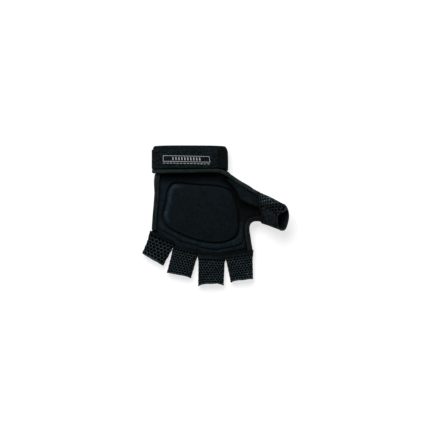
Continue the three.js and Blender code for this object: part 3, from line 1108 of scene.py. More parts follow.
    def tones(self, along: float) -> np.ndarray:
        """How much lighter or darker a ring is: painted shadow at the seam, a darker hem, painted shade in
        the lining and on the folded sides, and a painted highlight on the rim.

        Args:
            along: the ring's distance along the cloth.

        Returns:
            One share for each point.
        """
        sides = np.minimum(np.abs(self.shares - 0.5), np.minimum(self.shares, 1 - self.shares))
        # Painted shadow at the seam, the darker hem, and painted shade in the lining and on the folded sides
        dark = max(
            self.SEAM_SHADOW * smoothstep(self.seam, 0.4 * self.seam, along),
            self.hem_depth * smoothstep(self.top_hem + 0.3, self.top_hem - 0.5, along),
            1.2 * self.hem_depth * bell(along, self.top_hem, 0.8),
            self.LINING_SHADE * smoothstep(self.length, self.length + 0.5, along),
        )
        # Painted highlight on the end's rim
        bright = self.rim * bell(along, self.length - 0.2, 0.8)
        return bright - np.maximum(dark, self.SIDE_SHADE * bell(sides, 0.0, 0.03))

    def build(self, wardrobe: Wardrobe, sewing: Sewing) -> None:
        """Make the sleeve and the stitches along its hems.

        Args:
            wardrobe: the glove's materials.
            sewing: what lays the stitches.
        """
        cloth = Cloth()
        courses = self.courses()
        firsts = [cloth.add_points(points) for points, _, _ in courses]
        places = [place for _, place, _ in courses] + [2 * self.length + MESH_WALL]
        for i, (_, along, row) in enumerate(courses):
            a, b = firsts[i], firsts[(i + 1) % len(courses)]
            first, step = (row % 2, 2) if row >= 0 else (0, 1)
            for j in range(first, first + self.around, step):
                turn = range(j, j + step + 1)
                corners = [a + k % self.around for k in turn] + [b + k % self.around for k in turn[::-1]]
                spots = [(k * self.girth / self.around, along) for k in turn]
                spots += [(k * self.girth / self.around, places[i + 1]) for k in turn[::-1]]
                is_plain = self.plain[0] <= (j + 1) % self.around / self.around <= self.plain[1]
                cloth.add_face(corners, spots, row >= 0 and not is_plain, is_plain and along < self.length)
        base = cloth.to_object(f"{self.name}_cloth")
        shade(base, np.concatenate([self.tones(place) for place in places[:-1]]))
        values = {"Yarn": wardrobe.mesh, "Hollow": wardrobe.hollow, "Ribbed": wardrobe.ribbed}
        made = sewing.mesh_tree.make(base, f"{self.name}_knit", values)
        self.mottle(made)
        dress(made, stands_for=self.name)
        hems = (0.62 * self.top_hem, self.length - 0.6 * self.end_hem)
        lines = [closed_line(self.bent(along, -0.12)) for along in hems]
        sewing.stitches(f"{self.name}_hem_stitches", lines, Pitch=2.3, Length=1.7, Thickness=0.36)

    def mottle(self, made: bpy.types.Object) -> None:
        """Vary the finished knit's tone, in patches and along its grain, with a painted highlight towards the
        wrist and a spot of lighter specks.

        Args:
            made: the knit.
        """
        amounts = np.empty(len(made.data.vertices))
        made.data.attributes["shade"].data.foreach_get("value", amounts)
        x, y, _ = places_of(made).T
        pitch, angle, depth = self.grain
        ribs = depth * np.sin(2 * np.pi * (x * math.cos(angle) + y * math.sin(angle)) / pitch)
        patches = self.uneven * ripple(x, y, self.PATCH, self.seed)
        spot = bell(np.hypot(x - self.tone_marks[0], y - self.tone_marks[1]), 0.0, self.SPOT)
        specks = spot * np.maximum(ripple(x, y, self.SPECK, self.seed), 0.0) ** 2
        # Painted highlight on the side towards the wrist, with random tone and a spot of lighter specks
        tone = self.tone + self.wrist_side_highlight * smoothstep(11.0, 18.0, y) + self.tone_marks[2] * specks
        shade(made, (1 + amounts) * (1 + patches + ribs) * (1 + tone) - 1)


def near_knuckles(y: Any) -> Any:
    """A share that rises from 0 on the palm to 1 at the knuckles."""
    return smoothstep(9.0, 25.0, -y)


def off_little_side(x: Any) -> Any:
    """A share that rises from 0 at the little and ring fingers to 1 at the others."""
    return smoothstep(-22.0, -4.0, x)


@dataclass
class BackShell:
    """The moulded foam back: a shallow dish with a recess for the hand pad and turned-up edges."""

    # Rim seen from above, clockwise: x, y and the height of its top edge
    rim_rows: tuple[Row, ...] = (
        (-72.3, 49.4, 11.6), (-60.0, 49.9, 8.0), (-30.0, 50.2, 8.0), (0.0, 50.8, 8.5), (12.6, 51.6, 17.8),
        (27.7, 43.0, 17.4), (47.6, 29.4, 16.4), (51.4, 10.0, 14.0), (52.8, -5.4, 14.7), (43.6, -7.4, 14.6),
        (38.7, -14.6, 13.9), (40.0, -27.0, 12.3), (42.2, -38.0, 10.6), (43.0, -41.3, 7.8),
        (41.0, -42.2, 5.4), (28.0, -44.8, 5.4), (14.0, -46.3, 5.4), (11.2, -46.6, 5.4), (9.0, -48.7, 5.4),
        (-5.0, -48.2, 5.4), (-18.4, -45.3, 5.4), (-20.6, -44.2, 5.4), (-21.5, -42.3, 5.4),
        (-23.8, -42.1, 5.4), (-36.0, -39.9, 5.4), (-48.0, -37.5, 5.4), (-50.0, -36.3, 5.4),
        (-50.7, -32.7, 5.4), (-52.8, -31.2, 5.4), (-64.0, -26.0, 5.6), (-74.4, -20.2, 7.2),
        (-76.6, -16.4, 10.4), (-75.6, 0.0, 12.0), (-73.9, 21.0, 12.6),
    )
    points: int = 560
    edge_round: float = 1.4
    stitch_inset: float = 3.0
    wrist_tuck: float = 2.0
    finger_tuck: float = 1.1
    # Where the two creases across the knuckles run, as shares of the way from the pad to the rim
    crease: float = 0.46
    second_crease: float = 0.79

    def __post_init__(self) -> None:
        """Find the rim and the pad's edge on each ray from the palm's centre."""
        self.rim = spaced(smooth_path(self.rim_rows, 24, closed=True), self.points, closed=True)
        wrist = smoothstep(44.0, 49.0, self.rim[:, 1]) * smoothstep(20.0, 14.0, self.rim[:, 0])
        self.rim[:, 1] += self.wrist_tuck * wrist
        outward = self.rim[:, :2] - PALM_CENTRE
        outward /= np.linalg.norm(outward, axis=1, keepdims=True)
        fingers = smoothstep(-14.0, -22.0, self.rim[:, 1]) * smoothstep(42.0, 38.0, self.rim[:, 0])
        self.rim[:, :2] += self.finger_tuck * outward * fingers[:, None]
        outline = pad_outline(1200, 0.0)
        angles = np.arctan2(*(outline - PALM_CENTRE).T[::-1])
        order = np.argsort(angles)
        reach = np.linalg.norm(outline - PALM_CENTRE, axis=1)
        away = self.rim[:, :2] - PALM_CENTRE
        towards = np.arctan2(away[:, 1], away[:, 0])
        distance = np.interp(towards, angles[order], reach[order], period=2 * np.pi)[:, None]
        self.pad_edge = PALM_CENTRE + away / np.linalg.norm(away, axis=1, keepdims=True) * distance
        self.knuckles = near_knuckles(self.rim[:, 1])
        self.width = np.linalg.norm(self.rim[:, :2] - self.pad_edge, axis=1)

    def slope(self, share: Any) -> tuple[np.ndarray, np.ndarray, np.ndarray]:
        """The way up from the pad to the rim, without creases.

        Args:
            share: the share of the way, one for all rays or one for each.

        Returns:
            The share for each ray, the places in the plane and their heights.
        """
        part = np.asarray(share, float) * np.ones(self.points)
        flat = self.pad_edge + (self.rim[:, :2] - self.pad_edge) * part[:, None]
        return part, flat, FOAM + (self.rim[:, 2] - FOAM) * part**1.7

    def margin(self, share: Any) -> np.ndarray:
        """A ring of the margin's upper side, at a share of the way from the pad's groove to the rim.

        Args:
            share: the share, one for all rays or one for each.

        Returns:
            The points.
        """
        part, flat, height = self.slope(share)
        bulge = 0.9 * np.sin(np.pi * np.clip(part / self.crease, 0, 1)) ** 0.8 * self.knuckles
        crease = 1.5 * bell(part, self.crease, 0.05) * self.knuckles
        second = 1.3 * bell(part, self.second_crease, 0.04) * self.knuckles * off_little_side(flat[:, 0])
        wrinkles = 0.22 * ripple(flat[:, 0], flat[:, 1], 17.0, 1.3) * np.sin(np.pi * part)
        groove = 0.9 * bell(part * self.width, 0.0, 1.3)
        height = height + bulge - crease - second + wrinkles - groove
        return np.column_stack((flat, height))

    def underside(self, share: Any) -> np.ndarray:
        """A ring of the outer face, flat on the table except where the rim is lifted.

        Args:
            share: the share of the way from the pad's edge to the rim.

        Returns:
            The points.
        """
        part, flat, top = self.slope(share)
        foam = FOAM + (RIM_FOAM - FOAM) * part**1.2
        lifted = smoothstep(FOAM - 0.4, FOAM + 0.8, self.rim[:, 2]) * (part > 0.3)
        return np.column_stack((flat, np.maximum(0.0, top - foam) * lifted))

    def edge(self, lean: float, swing: float) -> np.ndarray:
        """A ring of the rounded edge, from its top at lean 1 to its underside at lean 0."""
        share = 1 - np.clip(self.edge_round * (1 - swing) / self.width, 0.0, 0.5)
        return self.margin(share) * lean + self.underside(share) * (1 - lean)

    def rings(self) -> list[np.ndarray]:
        """The shell's rings, from the recess's floor over the rim to the middle of the underside.

        Returns:
            The rings.
        """

        def level(share: float, z: float) -> np.ndarray:
            """A level ring, at a share of the way from the palm's centre to the pad's edge."""
            flat = PALM_CENTRE + (self.pad_edge - PALM_CENTRE) * share
            return np.column_stack((flat, np.full(self.points, z)))

        inner = 1 - self.edge_round / self.width
        recess = ((0.03, 0.0), (0.94, 0.0), (1.0, 0.0), (1.004, 1.2), (1.007, FOAM - 1.6 - RECESS_FLOOR))
        found = [level(share, RECESS_FLOOR + rise) for share, rise in recess]
        found += [self.margin(inner * share) for share in (0.025, 0.045, *np.linspace(0.07, 1.0, 60))]
        found += [self.edge(lean, swing) for lean, swing in half_round(9)[1:-1]]
        found += [self.underside(inner * share) for share in (1.0, 0.9, 0.8, 0.65, 0.5, 0.3)]
        return found + [level(share, 0.0) for share in (0.9, 0.5, 0.03)]

    def shading(self, points: np.ndarray) -> np.ndarray:
        """The shell's painted shade: how much darker it is in its groove, in its creases and along its seam
        lines, under the cuff, in the thumb's crotch and by the thumb panel's free edge.

        Args:
            points: the shell's points.

        Returns:
            One share for each point.
        """
        x, y = points[:, 0], points[:, 1]
        knuckles = near_knuckles(y)
        # Painted shadow under the cuff and painted shade in the thumb's crotch, over an overall lighter tone
        under_cuff = 1.1 * smoothstep(36.0, 44.0, y) + 1.2 * smoothstep(46.8, 48.6, y)
        by_thumb = smoothstep(26.5, 29.0, x) * smoothstep(-14.0, -4.0, y)
        found = 0.95 - 1.5 * by_thumb - under_cuff * smoothstep(26.0, 16.0, x)
        # Bands of painted shade: a line, the band's distance from it, its width and its depth
        bands = (
            (ThumbPanel.free_edge(), 2.0, 4.4, 1.9 - 1.85 * smoothstep(31.0, 40.0, x)),
            (pad_outline(400, 0.0), 0.2, 0.8, 1.15 + 0.5 * smoothstep(10.0, 20.0, x)),
            (self.margin(self.crease), 0.0, 0.8, 1.2 * knuckles),
            (self.margin(self.second_crease), 0.0, 0.9, 1.3 * knuckles * off_little_side(x)),
            (self.rim, 0.9, 1.9, 2.1 * knuckles),
            (self.rim, 3.6, 2.2, 1.1 * knuckles * smoothstep(12.0, 18.0, x)),
            (smooth_path(BINDINGS[0].path, 20), 3.0, 0.8, 1.2),
            (smooth_path(BINDINGS[1].path, 20), 3.6, 1.3, 1.8),
        )
        for line, distance, width, depth in bands:
            found -= depth * bell(off_line(points, line), distance, width)
        return found

    def build(self, wardrobe: Wardrobe, sewing: Sewing) -> None:
        """Make the shell and the stitching along its edge.

        Args:
            wardrobe: the glove's materials.
            sewing: what lays the stitches.
        """
        piece = lofted("moulded_back", self.rings())
        shell = dress(piece, wardrobe.lining, "back_shell")
        shade(shell, self.shading(places_of(shell)))
        shell.data.materials.append(wardrobe.outer)
        outer = [p.normal.z < -0.2 for p in shell.data.polygons]
        shell.data.polygons.foreach_set("material_index", outer)
        line = self.margin(1 - self.stitch_inset / self.width) + (0.0, 0.0, SEAM_RISE)
        sewing.stitches("edge_stitches", [closed_line(line)])


@dataclass
class HandPad:
    """The raised pad in the middle of the dish, puffed a little by a cloth simulation."""

    voxel: float = 2.4
    pressure: float = 4.0
    last_frame: int = 20
    most_move: float = 0.9
    points: int = 320
    inset: float = 0.7

    def shape(self) -> bpy.types.Object:
        """The pad before it is puffed: straight sides and a crowned top.

        Returns:
            The pad.
        """
        # Inset from the outline and height of each ring up the sides
        sides = (
            (1.5, PAD_FLOOR), (0.8, PAD_FLOOR + 0.7), (0.7, PAD_EDGE - 1.4), (0.9, PAD_EDGE - 0.6),
            (1.5, PAD_EDGE + 0.15), (2.6, PAD_EDGE + 0.7), (4.4, PAD_EDGE + 1.15), (7.5, PAD_EDGE + 1.5),
        )
        rings = [self.ring(PAD_FLOOR, self.inset, share) for share in (0.05, 0.5)]
        rings += [self.ring(z, inset) for inset, z in sides]
        for share in (0.75, 0.65, 0.55, 0.45, 0.35, 0.25, 0.15, 0.05):
            rings.append(self.ring(PAD_CROWN - 1.2 * share**2, self.inset, share))
        return lofted("palm_pad", rings)

    def ring(self, z: float, inset: float, share: float = 1.0) -> np.ndarray:
        """The pad's outline at a height, drawn in by inset and brought to a share of its size."""
        flat = PALM_CENTRE + (pad_outline(self.points, inset) - PALM_CENTRE) * share
        return np.column_stack((flat, np.full(self.points, z)))

    def puff(self, piece: bpy.types.Object) -> None:
        """Swell the pad's top by cloth pressure, with its sides and floor held.

        Args:
            piece: the pad.
        """
        remesh = piece.modifiers.new("remesh", "REMESH")
        remesh.mode = "VOXEL"
        remesh.voxel_size = self.voxel * MM
        freeze(piece)
        rest = np.array([v.co[:] for v in piece.data.vertices])
        held = piece.vertex_groups.new(name="held")
        held.add([i for i, p in enumerate(rest) if p[2] < (PAD_EDGE + 0.6) * MM], 1.0, "REPLACE")
        cloth = piece.modifiers.new("cloth", "CLOTH")
        cloth.settings.use_pressure = True
        cloth.settings.uniform_pressure_force = self.pressure
        cloth.settings.effector_weights.gravity = 0.0
        cloth.settings.vertex_group_mass = held.name
        cloth.point_cache.frame_start = 1
        cloth.point_cache.frame_end = self.last_frame
        scene = bpy.context.scene
        for number in range(1, self.last_frame + 1):
            scene.frame_set(number)
        freeze(piece)
        scene.frame_set(1)
        moved = np.array([v.co[:] for v in piece.data.vertices]) - rest
        size = np.linalg.norm(moved, axis=1, keepdims=True)
        kept = moved * np.minimum(1.0, self.most_move * MM / np.maximum(size, 1e-9))
        piece.data.vertices.foreach_set("co", (rest + kept).ravel())
        piece.vertex_groups.clear()
        fine = piece.modifiers.new("fine", "SUBSURF")
        fine.levels = fine.render_levels = 2
        freeze(piece)
        piece.data.shade_smooth()

    def build(self, wardrobe: Wardrobe) -> None:
        """Make the pad.

        Args:
            wardrobe: the glove's materials.
        """
        piece = self.shape()
        self.puff(piece)
        places = places_of(piece)
        x, y, _ = places.T
        off = off_line(places, pad_outline(400, 0.0))
        # Painted highlights on the pad's left side and round its edge; painted shade at its right edge and in
        # the groove round it
        left = smoothstep(-35.0, -52.0, x) * smoothstep(-12.0, 0.0, y)
        right = smoothstep(15.0, 21.0, x) * smoothstep(-8.0, 4.0, y)
        bright = 2.6 * left * bell(off, 4.4, 2.4) + 0.35 * (1 - right) * bell(off, 3.0, 1.3)
        shade(piece, bright - 0.6 * right * bell(off, 0.5, 3.2) - 0.7 * bell(off, 0.5, 0.8))
        dress(piece, wardrobe.lining, "hand_pad")


def freeze(piece: bpy.types.Object) -> None:
    """Apply a piece's modifiers to its mesh.

    Args:
        piece: the piece.
    """
    mesh = baked(piece)
    piece.modifiers.clear()
    piece.data = mesh


@dataclass
class ThumbPanel:
    """The smooth panel over the thumb's root, with a rolled free edge."""

    # x, y and z on the binding at the thumb's outer edge, then on the free edge over the palm
    ROWS = (
        (16.0, 44.6, 19.0, 14.6, 42.8, 20.4),
        (24.2, 38.8, 19.2, 21.2, 36.2, 22.0),
        (31.0, 34.1, 19.2, 26.4, 28.8, 23.2),
        (37.0, 29.9, 19.2, 29.8, 21.0, 24.2),
        (42.0, 26.4, 19.2, 38.8, 15.4, 25.2),
        (49.4, 24.4, 19.4, 51.4, 10.2, 26.2),
    )

    thickness: float = 2.6
    slack: float = 0.25
    roll: float = 0.9
    seam_column: int = 21

    @classmethod
    def free_edge(cls) -> np.ndarray:
        """The free edge, seen from above."""
        return smooth_path([row[3:5] for row in cls.ROWS], 12)

    def surface(self, share_along: np.ndarray, turn: float) -> np.ndarray:
        """A line along the panel's upper side at one turn of its quarter arch.

        Args:
            share_along: shares of the way along the panel.
            turn: the turn, from 0 at the binding to a quarter at the free edge.

        Returns:
            The points.
        """
        smooth = smooth_path(self.ROWS, 24)
        at = share_along * (len(smooth) - 1)
        fine = np.column_stack([np.interp(at, np.arange(len(smooth)), column) for column in smooth.T])
        share = 1 - math.cos(turn) * (1 - self.slack * math.sin(turn))
        flat = fine[:, 0:2] + (fine[:, 3:5] - fine[:, 0:2]) * share
        z = fine[:, 2] + (fine[:, 5] - fine[:, 2]) * math.sin(turn)
        fold = bell(share, 0.7 - 0.15 * share_along, 0.07) * smoothstep(0.4, 0.65, share_along)
        crook = bell(share, 0.3, 0.05) * bell(share_along, 0.5, 0.12)
        puckers = 0.3 * ripple(flat[:, 0], flat[:, 1], 8.0, 4.0) * math.sin(turn)
        z = z + puckers - 0.9 * fold - 0.6 * crook
        return np.column_stack((flat, z))

    def build(self, wardrobe: Wardrobe, sewing: Sewing) -> None:
        """Make the panel and the stitching along its free edge.

        Args:
            wardrobe: the glove's materials.
            sewing: what lays the stitches.
        """
        along = np.linspace(0.0, 1.0, 90)
        turns = np.linspace(0.0, np.pi / 2, 26)
        grid = np.array([self.surface(along, turn) for turn in turns]).transpose(1, 0, 2)
        rings = []
        for line in grid:
            under = line - (0.0, 0.0, self.thickness)
            ends = []
            for last, inward in ((-1, -4), (0, 3)):
                top, low, outward = line[last], under[last], line[last] - line[inward]
                push = self.roll * outward / max(np.linalg.norm(outward), 1e-6)
                turns = half_round(7)[1:-1]
                ends.append([top * lean + low * (1 - lean) + push * swing for lean, swing in turns])
            rings.append(np.vstack((line, ends[0], under[::-1], ends[1][::-1])))
        piece = lofted("thumb_root_panel", rings)
        places = places_of(piece)
        # Painted shade along the rolled free edge and towards both ends, over an overall lighter tone
        rolled = 0.6 * bell(off_line(places, self.free_edge()), 0.0, 1.3)
        end_shade = smoothstep(38.0, 49.0, places[:, 0]) + smoothstep(30.0, 18.0, places[:, 0])
        shade(piece, 0.1 - rolled - 0.5 * end_shade)
        dress(piece, wardrobe.lining, "thumb_panel")
        sewing.stitches("thumb_panel_stitches", [grid[:, self.seam_column] + (0.0, 0.0, SEAM_RISE)])


CUFF_SECTIONS = (
    Section(14.9, 55.2, -74.8, 53.0, 0.0, 24.0, lean_y=4.8),
    Section(15.0, 65.5, -74.5, 64.5, 0.0, 24.5, lean_y=1.0),
    Section(14.6, 76.4, -74.6, 76.8, 0.0, 24.5),
    Section(13.8, 79.2, -75.0, 79.2, 0.0, 24.5),
    Section(12.8, 81.4, -75.4, 81.2, 0.0, 24.6, bow=0.4),
    Section(11.2, 83.5, -74.0, 83.7, 0.0, 24.6, bow=0.5),
)
CUFF_POWER = 2.6


@dataclass
class WristCuff:
    """The neoprene tube round the wrist."""

    points: int = 260
    edge: float = 0.9
    tuck: float = 2.5
    hem: float = 3.2

    def build(self, wardrobe: Wardrobe, sewing: Sewing) -> None:
        """Make the cuff and its stitched hem.

        Args:
            wardrobe: the glove's materials.
            sewing: what lays the stitches.
        """
        tube = Tube(CUFF_SECTIONS, CUFF_POWER)
        shares = np.arange(self.points) / self.points
        length = tube.length

        def ring(along: float, inset: float) -> np.ndarray:
            """A ring of the tube, with its underside tucked under the shell and its surface a little wavy.

            Args:
                along: distance along the tube.
                inset: distance inside the outer surface.

            Returns:
                The points.
            """
            under = smoothstep(0.48, 0.54, shares) * smoothstep(1.0, 0.94, shares)
            tucked = -self.tuck * under * smoothstep(8.0, 0.0, along)
            points = tube.ring(along + tucked, inset, shares)
            left = smoothstep(-60.0, -72.0, points[:, 0])
            points[:, 0] -= 1.9 * left * smoothstep(4.0, 2.0, along)
            points[:, 2] += 0.3 * ripple(points[:, 0], points[:, 1], 19.0, 2.0) * (points[:, 2] > 12.0)
            return points

        rounded = half_round(9)[1:-1]
        outside = [ring(along, 0.0) for along in np.linspace(self.edge, length - self.edge, 22)]
        end = [ring(length - self.edge * (1 - swing), CUFF_WALL * (1 - lean)) for lean, swing in rounded]
        inside = [ring(along, CUFF_WALL) for along in np.linspace(length - self.edge, self.edge, 12)]
        start = [ring(self.edge * (1 - swing), CUFF_WALL * lean) for lean, swing in rounded]
        piece = lofted("cuff_tube", [*outside, *end, *inside, *start], looped=True)
        _, y, z = places_of(piece).T
        # Painted shade on the inner wall and the rolled ends, and a painted highlight along the top hem's
        # upper face
        parts = ((outside, 0.0), (end, 0.5), (inside, 0.9), (start, 0.7))
        dark = np.concatenate([np.full(len(rings) * self.points, depth) for rings, depth in parts])
        shade(piece, 1.6 * bell(y, 83.0, 1.3) * smoothstep(12.0, 20.0, z) - dark)
        dress(piece, wardrobe.neoprene, "wrist_cuff")
        sewing.stitches("cuff_hem_stitches", [closed_line(ring(length - self.hem, -0.15))])


@dataclass
class WristStrap:
    """The closure strap round the cuff, with a printed frame."""

    width: float = 23.3
    low_edge: float = 56.2
    slope: float = 0.01
    end_x: float = 2.7
    start_turn: float = 0.86
    corner: float = 3.0
    edge: float = 0.8
    # Corners of the printed frame: top left, top right, bottom right, bottom left
    frame_corners: tuple[Row, ...] = ((-63.0, 72.0), (-7.8, 70.8), (-6.6, 63.6), (-63.0, 64.8))
    # Widths of its upright and level lines, as shares of its length and height
    frame_lines: tuple[float, float] = (0.5 / 57.2, 0.48 / 7.4)
    # Rows of bars in it and under it: their number, start, pitch and width along it, and span up it
    bar_rows: tuple[Row, ...] = (
        (10, 0.205, 0.0635, 0.02, 0.26, 0.76),
        (14, 0.002, 0.0716, 0.048, -0.3, -0.22),
    )
    stitch_inset: float = 2.0
    ink: float = 0.12

    def __post_init__(self) -> None:
        """Read the cuff's section that the strap lies on."""
        seat = CUFF_SECTIONS[1]
        self.middle_x = (seat.from_x + seat.to_x) / 2
        self.half_width = (seat.from_x - seat.to_x) / 2
        self.half_depth = seat.depth / 2
        self.middle_z = seat.base + self.half_depth
        self.left_x = seat.to_x

    def line(self, offset: float, turns: np.ndarray) -> np.ndarray:
        """The strap's course in x and z at a distance off the cuff.

        Args:
            offset: the distance.
            turns: turns round the cuff.

        Returns:
            x and z at each turn.
        """
        c, s = (np.sign(f(turns)) * np.abs(f(turns)) ** (2 / CUFF_POWER) for f in (np.cos, np.sin))
        x = self.middle_x + (self.half_width + offset) * c
        return np.column_stack((x, self.middle_z + (self.half_depth + offset) * s))

    def top(self, x: Any) -> Any:
        """Height of the strap's outer face over the palm side.

        Args:
            x: places across the cuff.

        Returns:
            The heights.
        """
        reach = STRAP_SEAT + STRAP
        c = np.clip(np.abs((np.asarray(x) - self.middle_x) / (self.half_width + reach)), 0, 0.999)
        return self.middle_z + (self.half_depth + reach) * (1 - c**CUFF_POWER) ** (1 / CUFF_POWER)

    def build(self, wardrobe: Wardrobe, sewing: Sewing) -> None:
        """Make the strap, its edge stitching and its print.

        Args:
            wardrobe: the glove's materials.
            sewing: what lays the stitches.
        """
        start = (2 - self.start_turn) * math.pi
        share = (self.end_x - self.middle_x) / (self.half_width + STRAP_SEAT + STRAP)
        end = math.acos(share ** (CUFF_POWER / 2))
        turns = np.linspace(start, end, 3000)
        inner, outer = self.line(STRAP_SEAT, turns), self.line(STRAP_SEAT + STRAP, turns)
        both = spaced(np.hstack((outer, inner)), 300)
        far = walked(both[:, :2])
        rings = [self.section(at, min(far[-1] - along, along)) for at, along in zip(both, far)]
        piece = lofted("closure_strap", rings)
        x, y, z = places_of(piece).T
        # Painted highlights along the free end and the lower edge of the outer face, over a random mottle
        tip = 0.8 * smoothstep(self.end_x - 1.5, self.end_x - 0.6, x)
        low = 0.5 * bell(y - self.low_edge, 0.6, 0.8) * smoothstep(-30.0, -10.0, x)
        shade(piece, (z > self.middle_z) * (tip + low) + 0.42 * ripple(x, y, 4.6, 2.6))
        dress(piece, wardrobe.strap, "wrist_strap")
        self.stitch(both, sewing)
        self.print_frame(wardrobe)

    def section(self, at: np.ndarray, close: float) -> np.ndarray:
        """A ring round the strap.

        Args:
            at: x and z of its outer face, then of its inner face.
            close: how far the nearer end of the strap is.

        Returns:
            The ring's points; both its sides are rounded, and it is narrower in the strap's corners.
        """
        bend = max(self.corner - close, 0.0)
        narrow = self.corner - math.sqrt(self.corner**2 - bend**2)
        low = self.low_edge + self.slope * (at[0] - self.left_x) + narrow
        high = low + self.width - 2 * narrow
        outer, inner = at[:2], at[2:]
        rounded = [
            (outer * lean + inner * (1 - lean), self.edge * (1 - swing)) for lean, swing in half_round(9)
        ]
        shares = np.linspace(0.06, 0.94, 12)
        ring = [(*place, low + inset) for place, inset in rounded]
        ring += [(*inner, low + (high - low) * share) for share in shares]
        ring += [(*place, high - inset) for place, inset in rounded[::-1]]
        ring += [(*outer, low + (high - low) * share) for share in shares[::-1]]
        return np.array(ring)[:, (0, 2, 1)]

    def stitch(self, both: np.ndarray, sewing: Sewing) -> None:
        """Sew along both long edges and across the free end.

        Args:
            both: the course of the strap's outer and inner face.
            sewing: what lays the stitches.
        """
        course = both[10:-8]
        lines = []
        for across in (self.stitch_inset, self.width - self.stitch_inset):
            y = self.low_edge + self.slope * (course[:, 0] - self.left_x) + across
            lines.append(np.column_stack((course[:, 0], y, course[:, 1])))
        low, high = lines[0][-1], lines[1][-1]
        lines.append(np.array([low + (high - low) * t for t in np.linspace(0, 1, 12)]))
        sewing.stitches("strap_stitches", lines, Pitch=2.4, Length=1.8, Thickness=0.4)

    def bar(self, cloth: Cloth, a0: float, a1: float, b0: float, b1: float) -> None:
        """Print one bar.

        Args:
            cloth: the print's mesh.
            a0: where the bar starts along the frame, from 0 at its left side to 1 at its right.
            a1: where it ends.
            b0: where it starts up the frame, from 0 at its lower side to 1 at its upper.
            b1: where it ends.
        """
        top_left, top_right, low_right, low_left = (np.array(c) for c in self.frame_corners)
        rings = []
        for a in np.linspace(a0, a1, max(2, int(abs(a1 - a0) * 60) + 2)):
            low = low_left + (low_right - low_left) * a
            high = top_left + (top_right - top_left) * a
            lower, upper = low + (high - low) * b0, low + (high - low) * b1
            z = float(self.top(lower[0])) + 0.02
            top = z + self.ink
            rings.append(np.array(((*lower, z), (*upper, z), (*upper, top), (*lower, top))))
        cloth.loft(rings)

    def print_frame(self, wardrobe: Wardrobe) -> None:
        """Print a plain frame, a row of plain upright bars in it and a dashed line beneath it.

        Args:
            wardrobe: the glove's materials.
        """
        cloth = Cloth()
        side, level = self.frame_lines
        for low in (1 - level, 0):
            self.bar(cloth, 0, 1, low, low + level)
        for left in (0, 1 - side):
            self.bar(cloth, left, left + side, level, 1 - level)
        for count, first, pitch, width, low, high in self.bar_rows:
            for left in first + pitch * np.arange(count):
                self.bar(cloth, left, left + width, low, high)
        piece = cloth.to_object("strap_print")
        piece.data.shade_flat()
        dress(piece, wardrobe.print)


@dataclass
class Binding:
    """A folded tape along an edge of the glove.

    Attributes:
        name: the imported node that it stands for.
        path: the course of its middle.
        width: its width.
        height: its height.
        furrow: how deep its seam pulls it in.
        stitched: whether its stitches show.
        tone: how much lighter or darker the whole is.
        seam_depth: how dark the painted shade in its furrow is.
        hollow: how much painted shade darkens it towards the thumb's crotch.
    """

    name: str
    path: tuple[Row, ...]
    width: float = 5.2
    height: float = 4.6
    furrow: float = 1.3
    stitched: bool = True
    tone: float = 0.05
    seam_depth: float = 0.75
    hollow: float = 0.0

    def build(self, wardrobe: Wardrobe, sewing: Sewing) -> None:
        """Sweep the tape and sew it down along its furrow.

        Args:
            wardrobe: the glove's materials.
            sewing: what lays the stitches.
        """
        line = smooth_path(self.path, 30)
        sizes = {"Width": self.width * MM, "Height": self.height * MM, "Furrow": self.furrow * MM}
        values = {**sizes, "Points": 60 + 16 * len(self.path), "Tape": wardrobe.tape}
        made = sewing.binding_tree.make(polyline(f"{self.name}_line", [line]), f"{self.name}_tape", values)
        places = places_of(made)
        x, y, _ = places.T
        off = off_line(places, line)
        # Painted shade on its rounded sides and in its furrow, a painted highlight by the thumb, and painted
        # shade towards the thumb's crotch
        dark = 0.7 * smoothstep(0.4 * self.width, 0.47 * self.width, off)
        dark = dark + self.seam_depth * bell(off, 0.0, 0.55)
        bright = 0.35 * smoothstep(16.0, 26.0, x) * (y > 5.0)
        shade(made, self.tone + bright - dark - self.hollow * smoothstep(-10.0, -5.0, y))
        dress(made, stands_for=self.name)
        if self.stitched:
            seam = line + (0.0, 0.0, self.height / 2 - self.furrow + SEAM_RISE)
            sewing.stitches(f"{self.name}_stitches", [seam[8:-8]], Pitch=2.5)


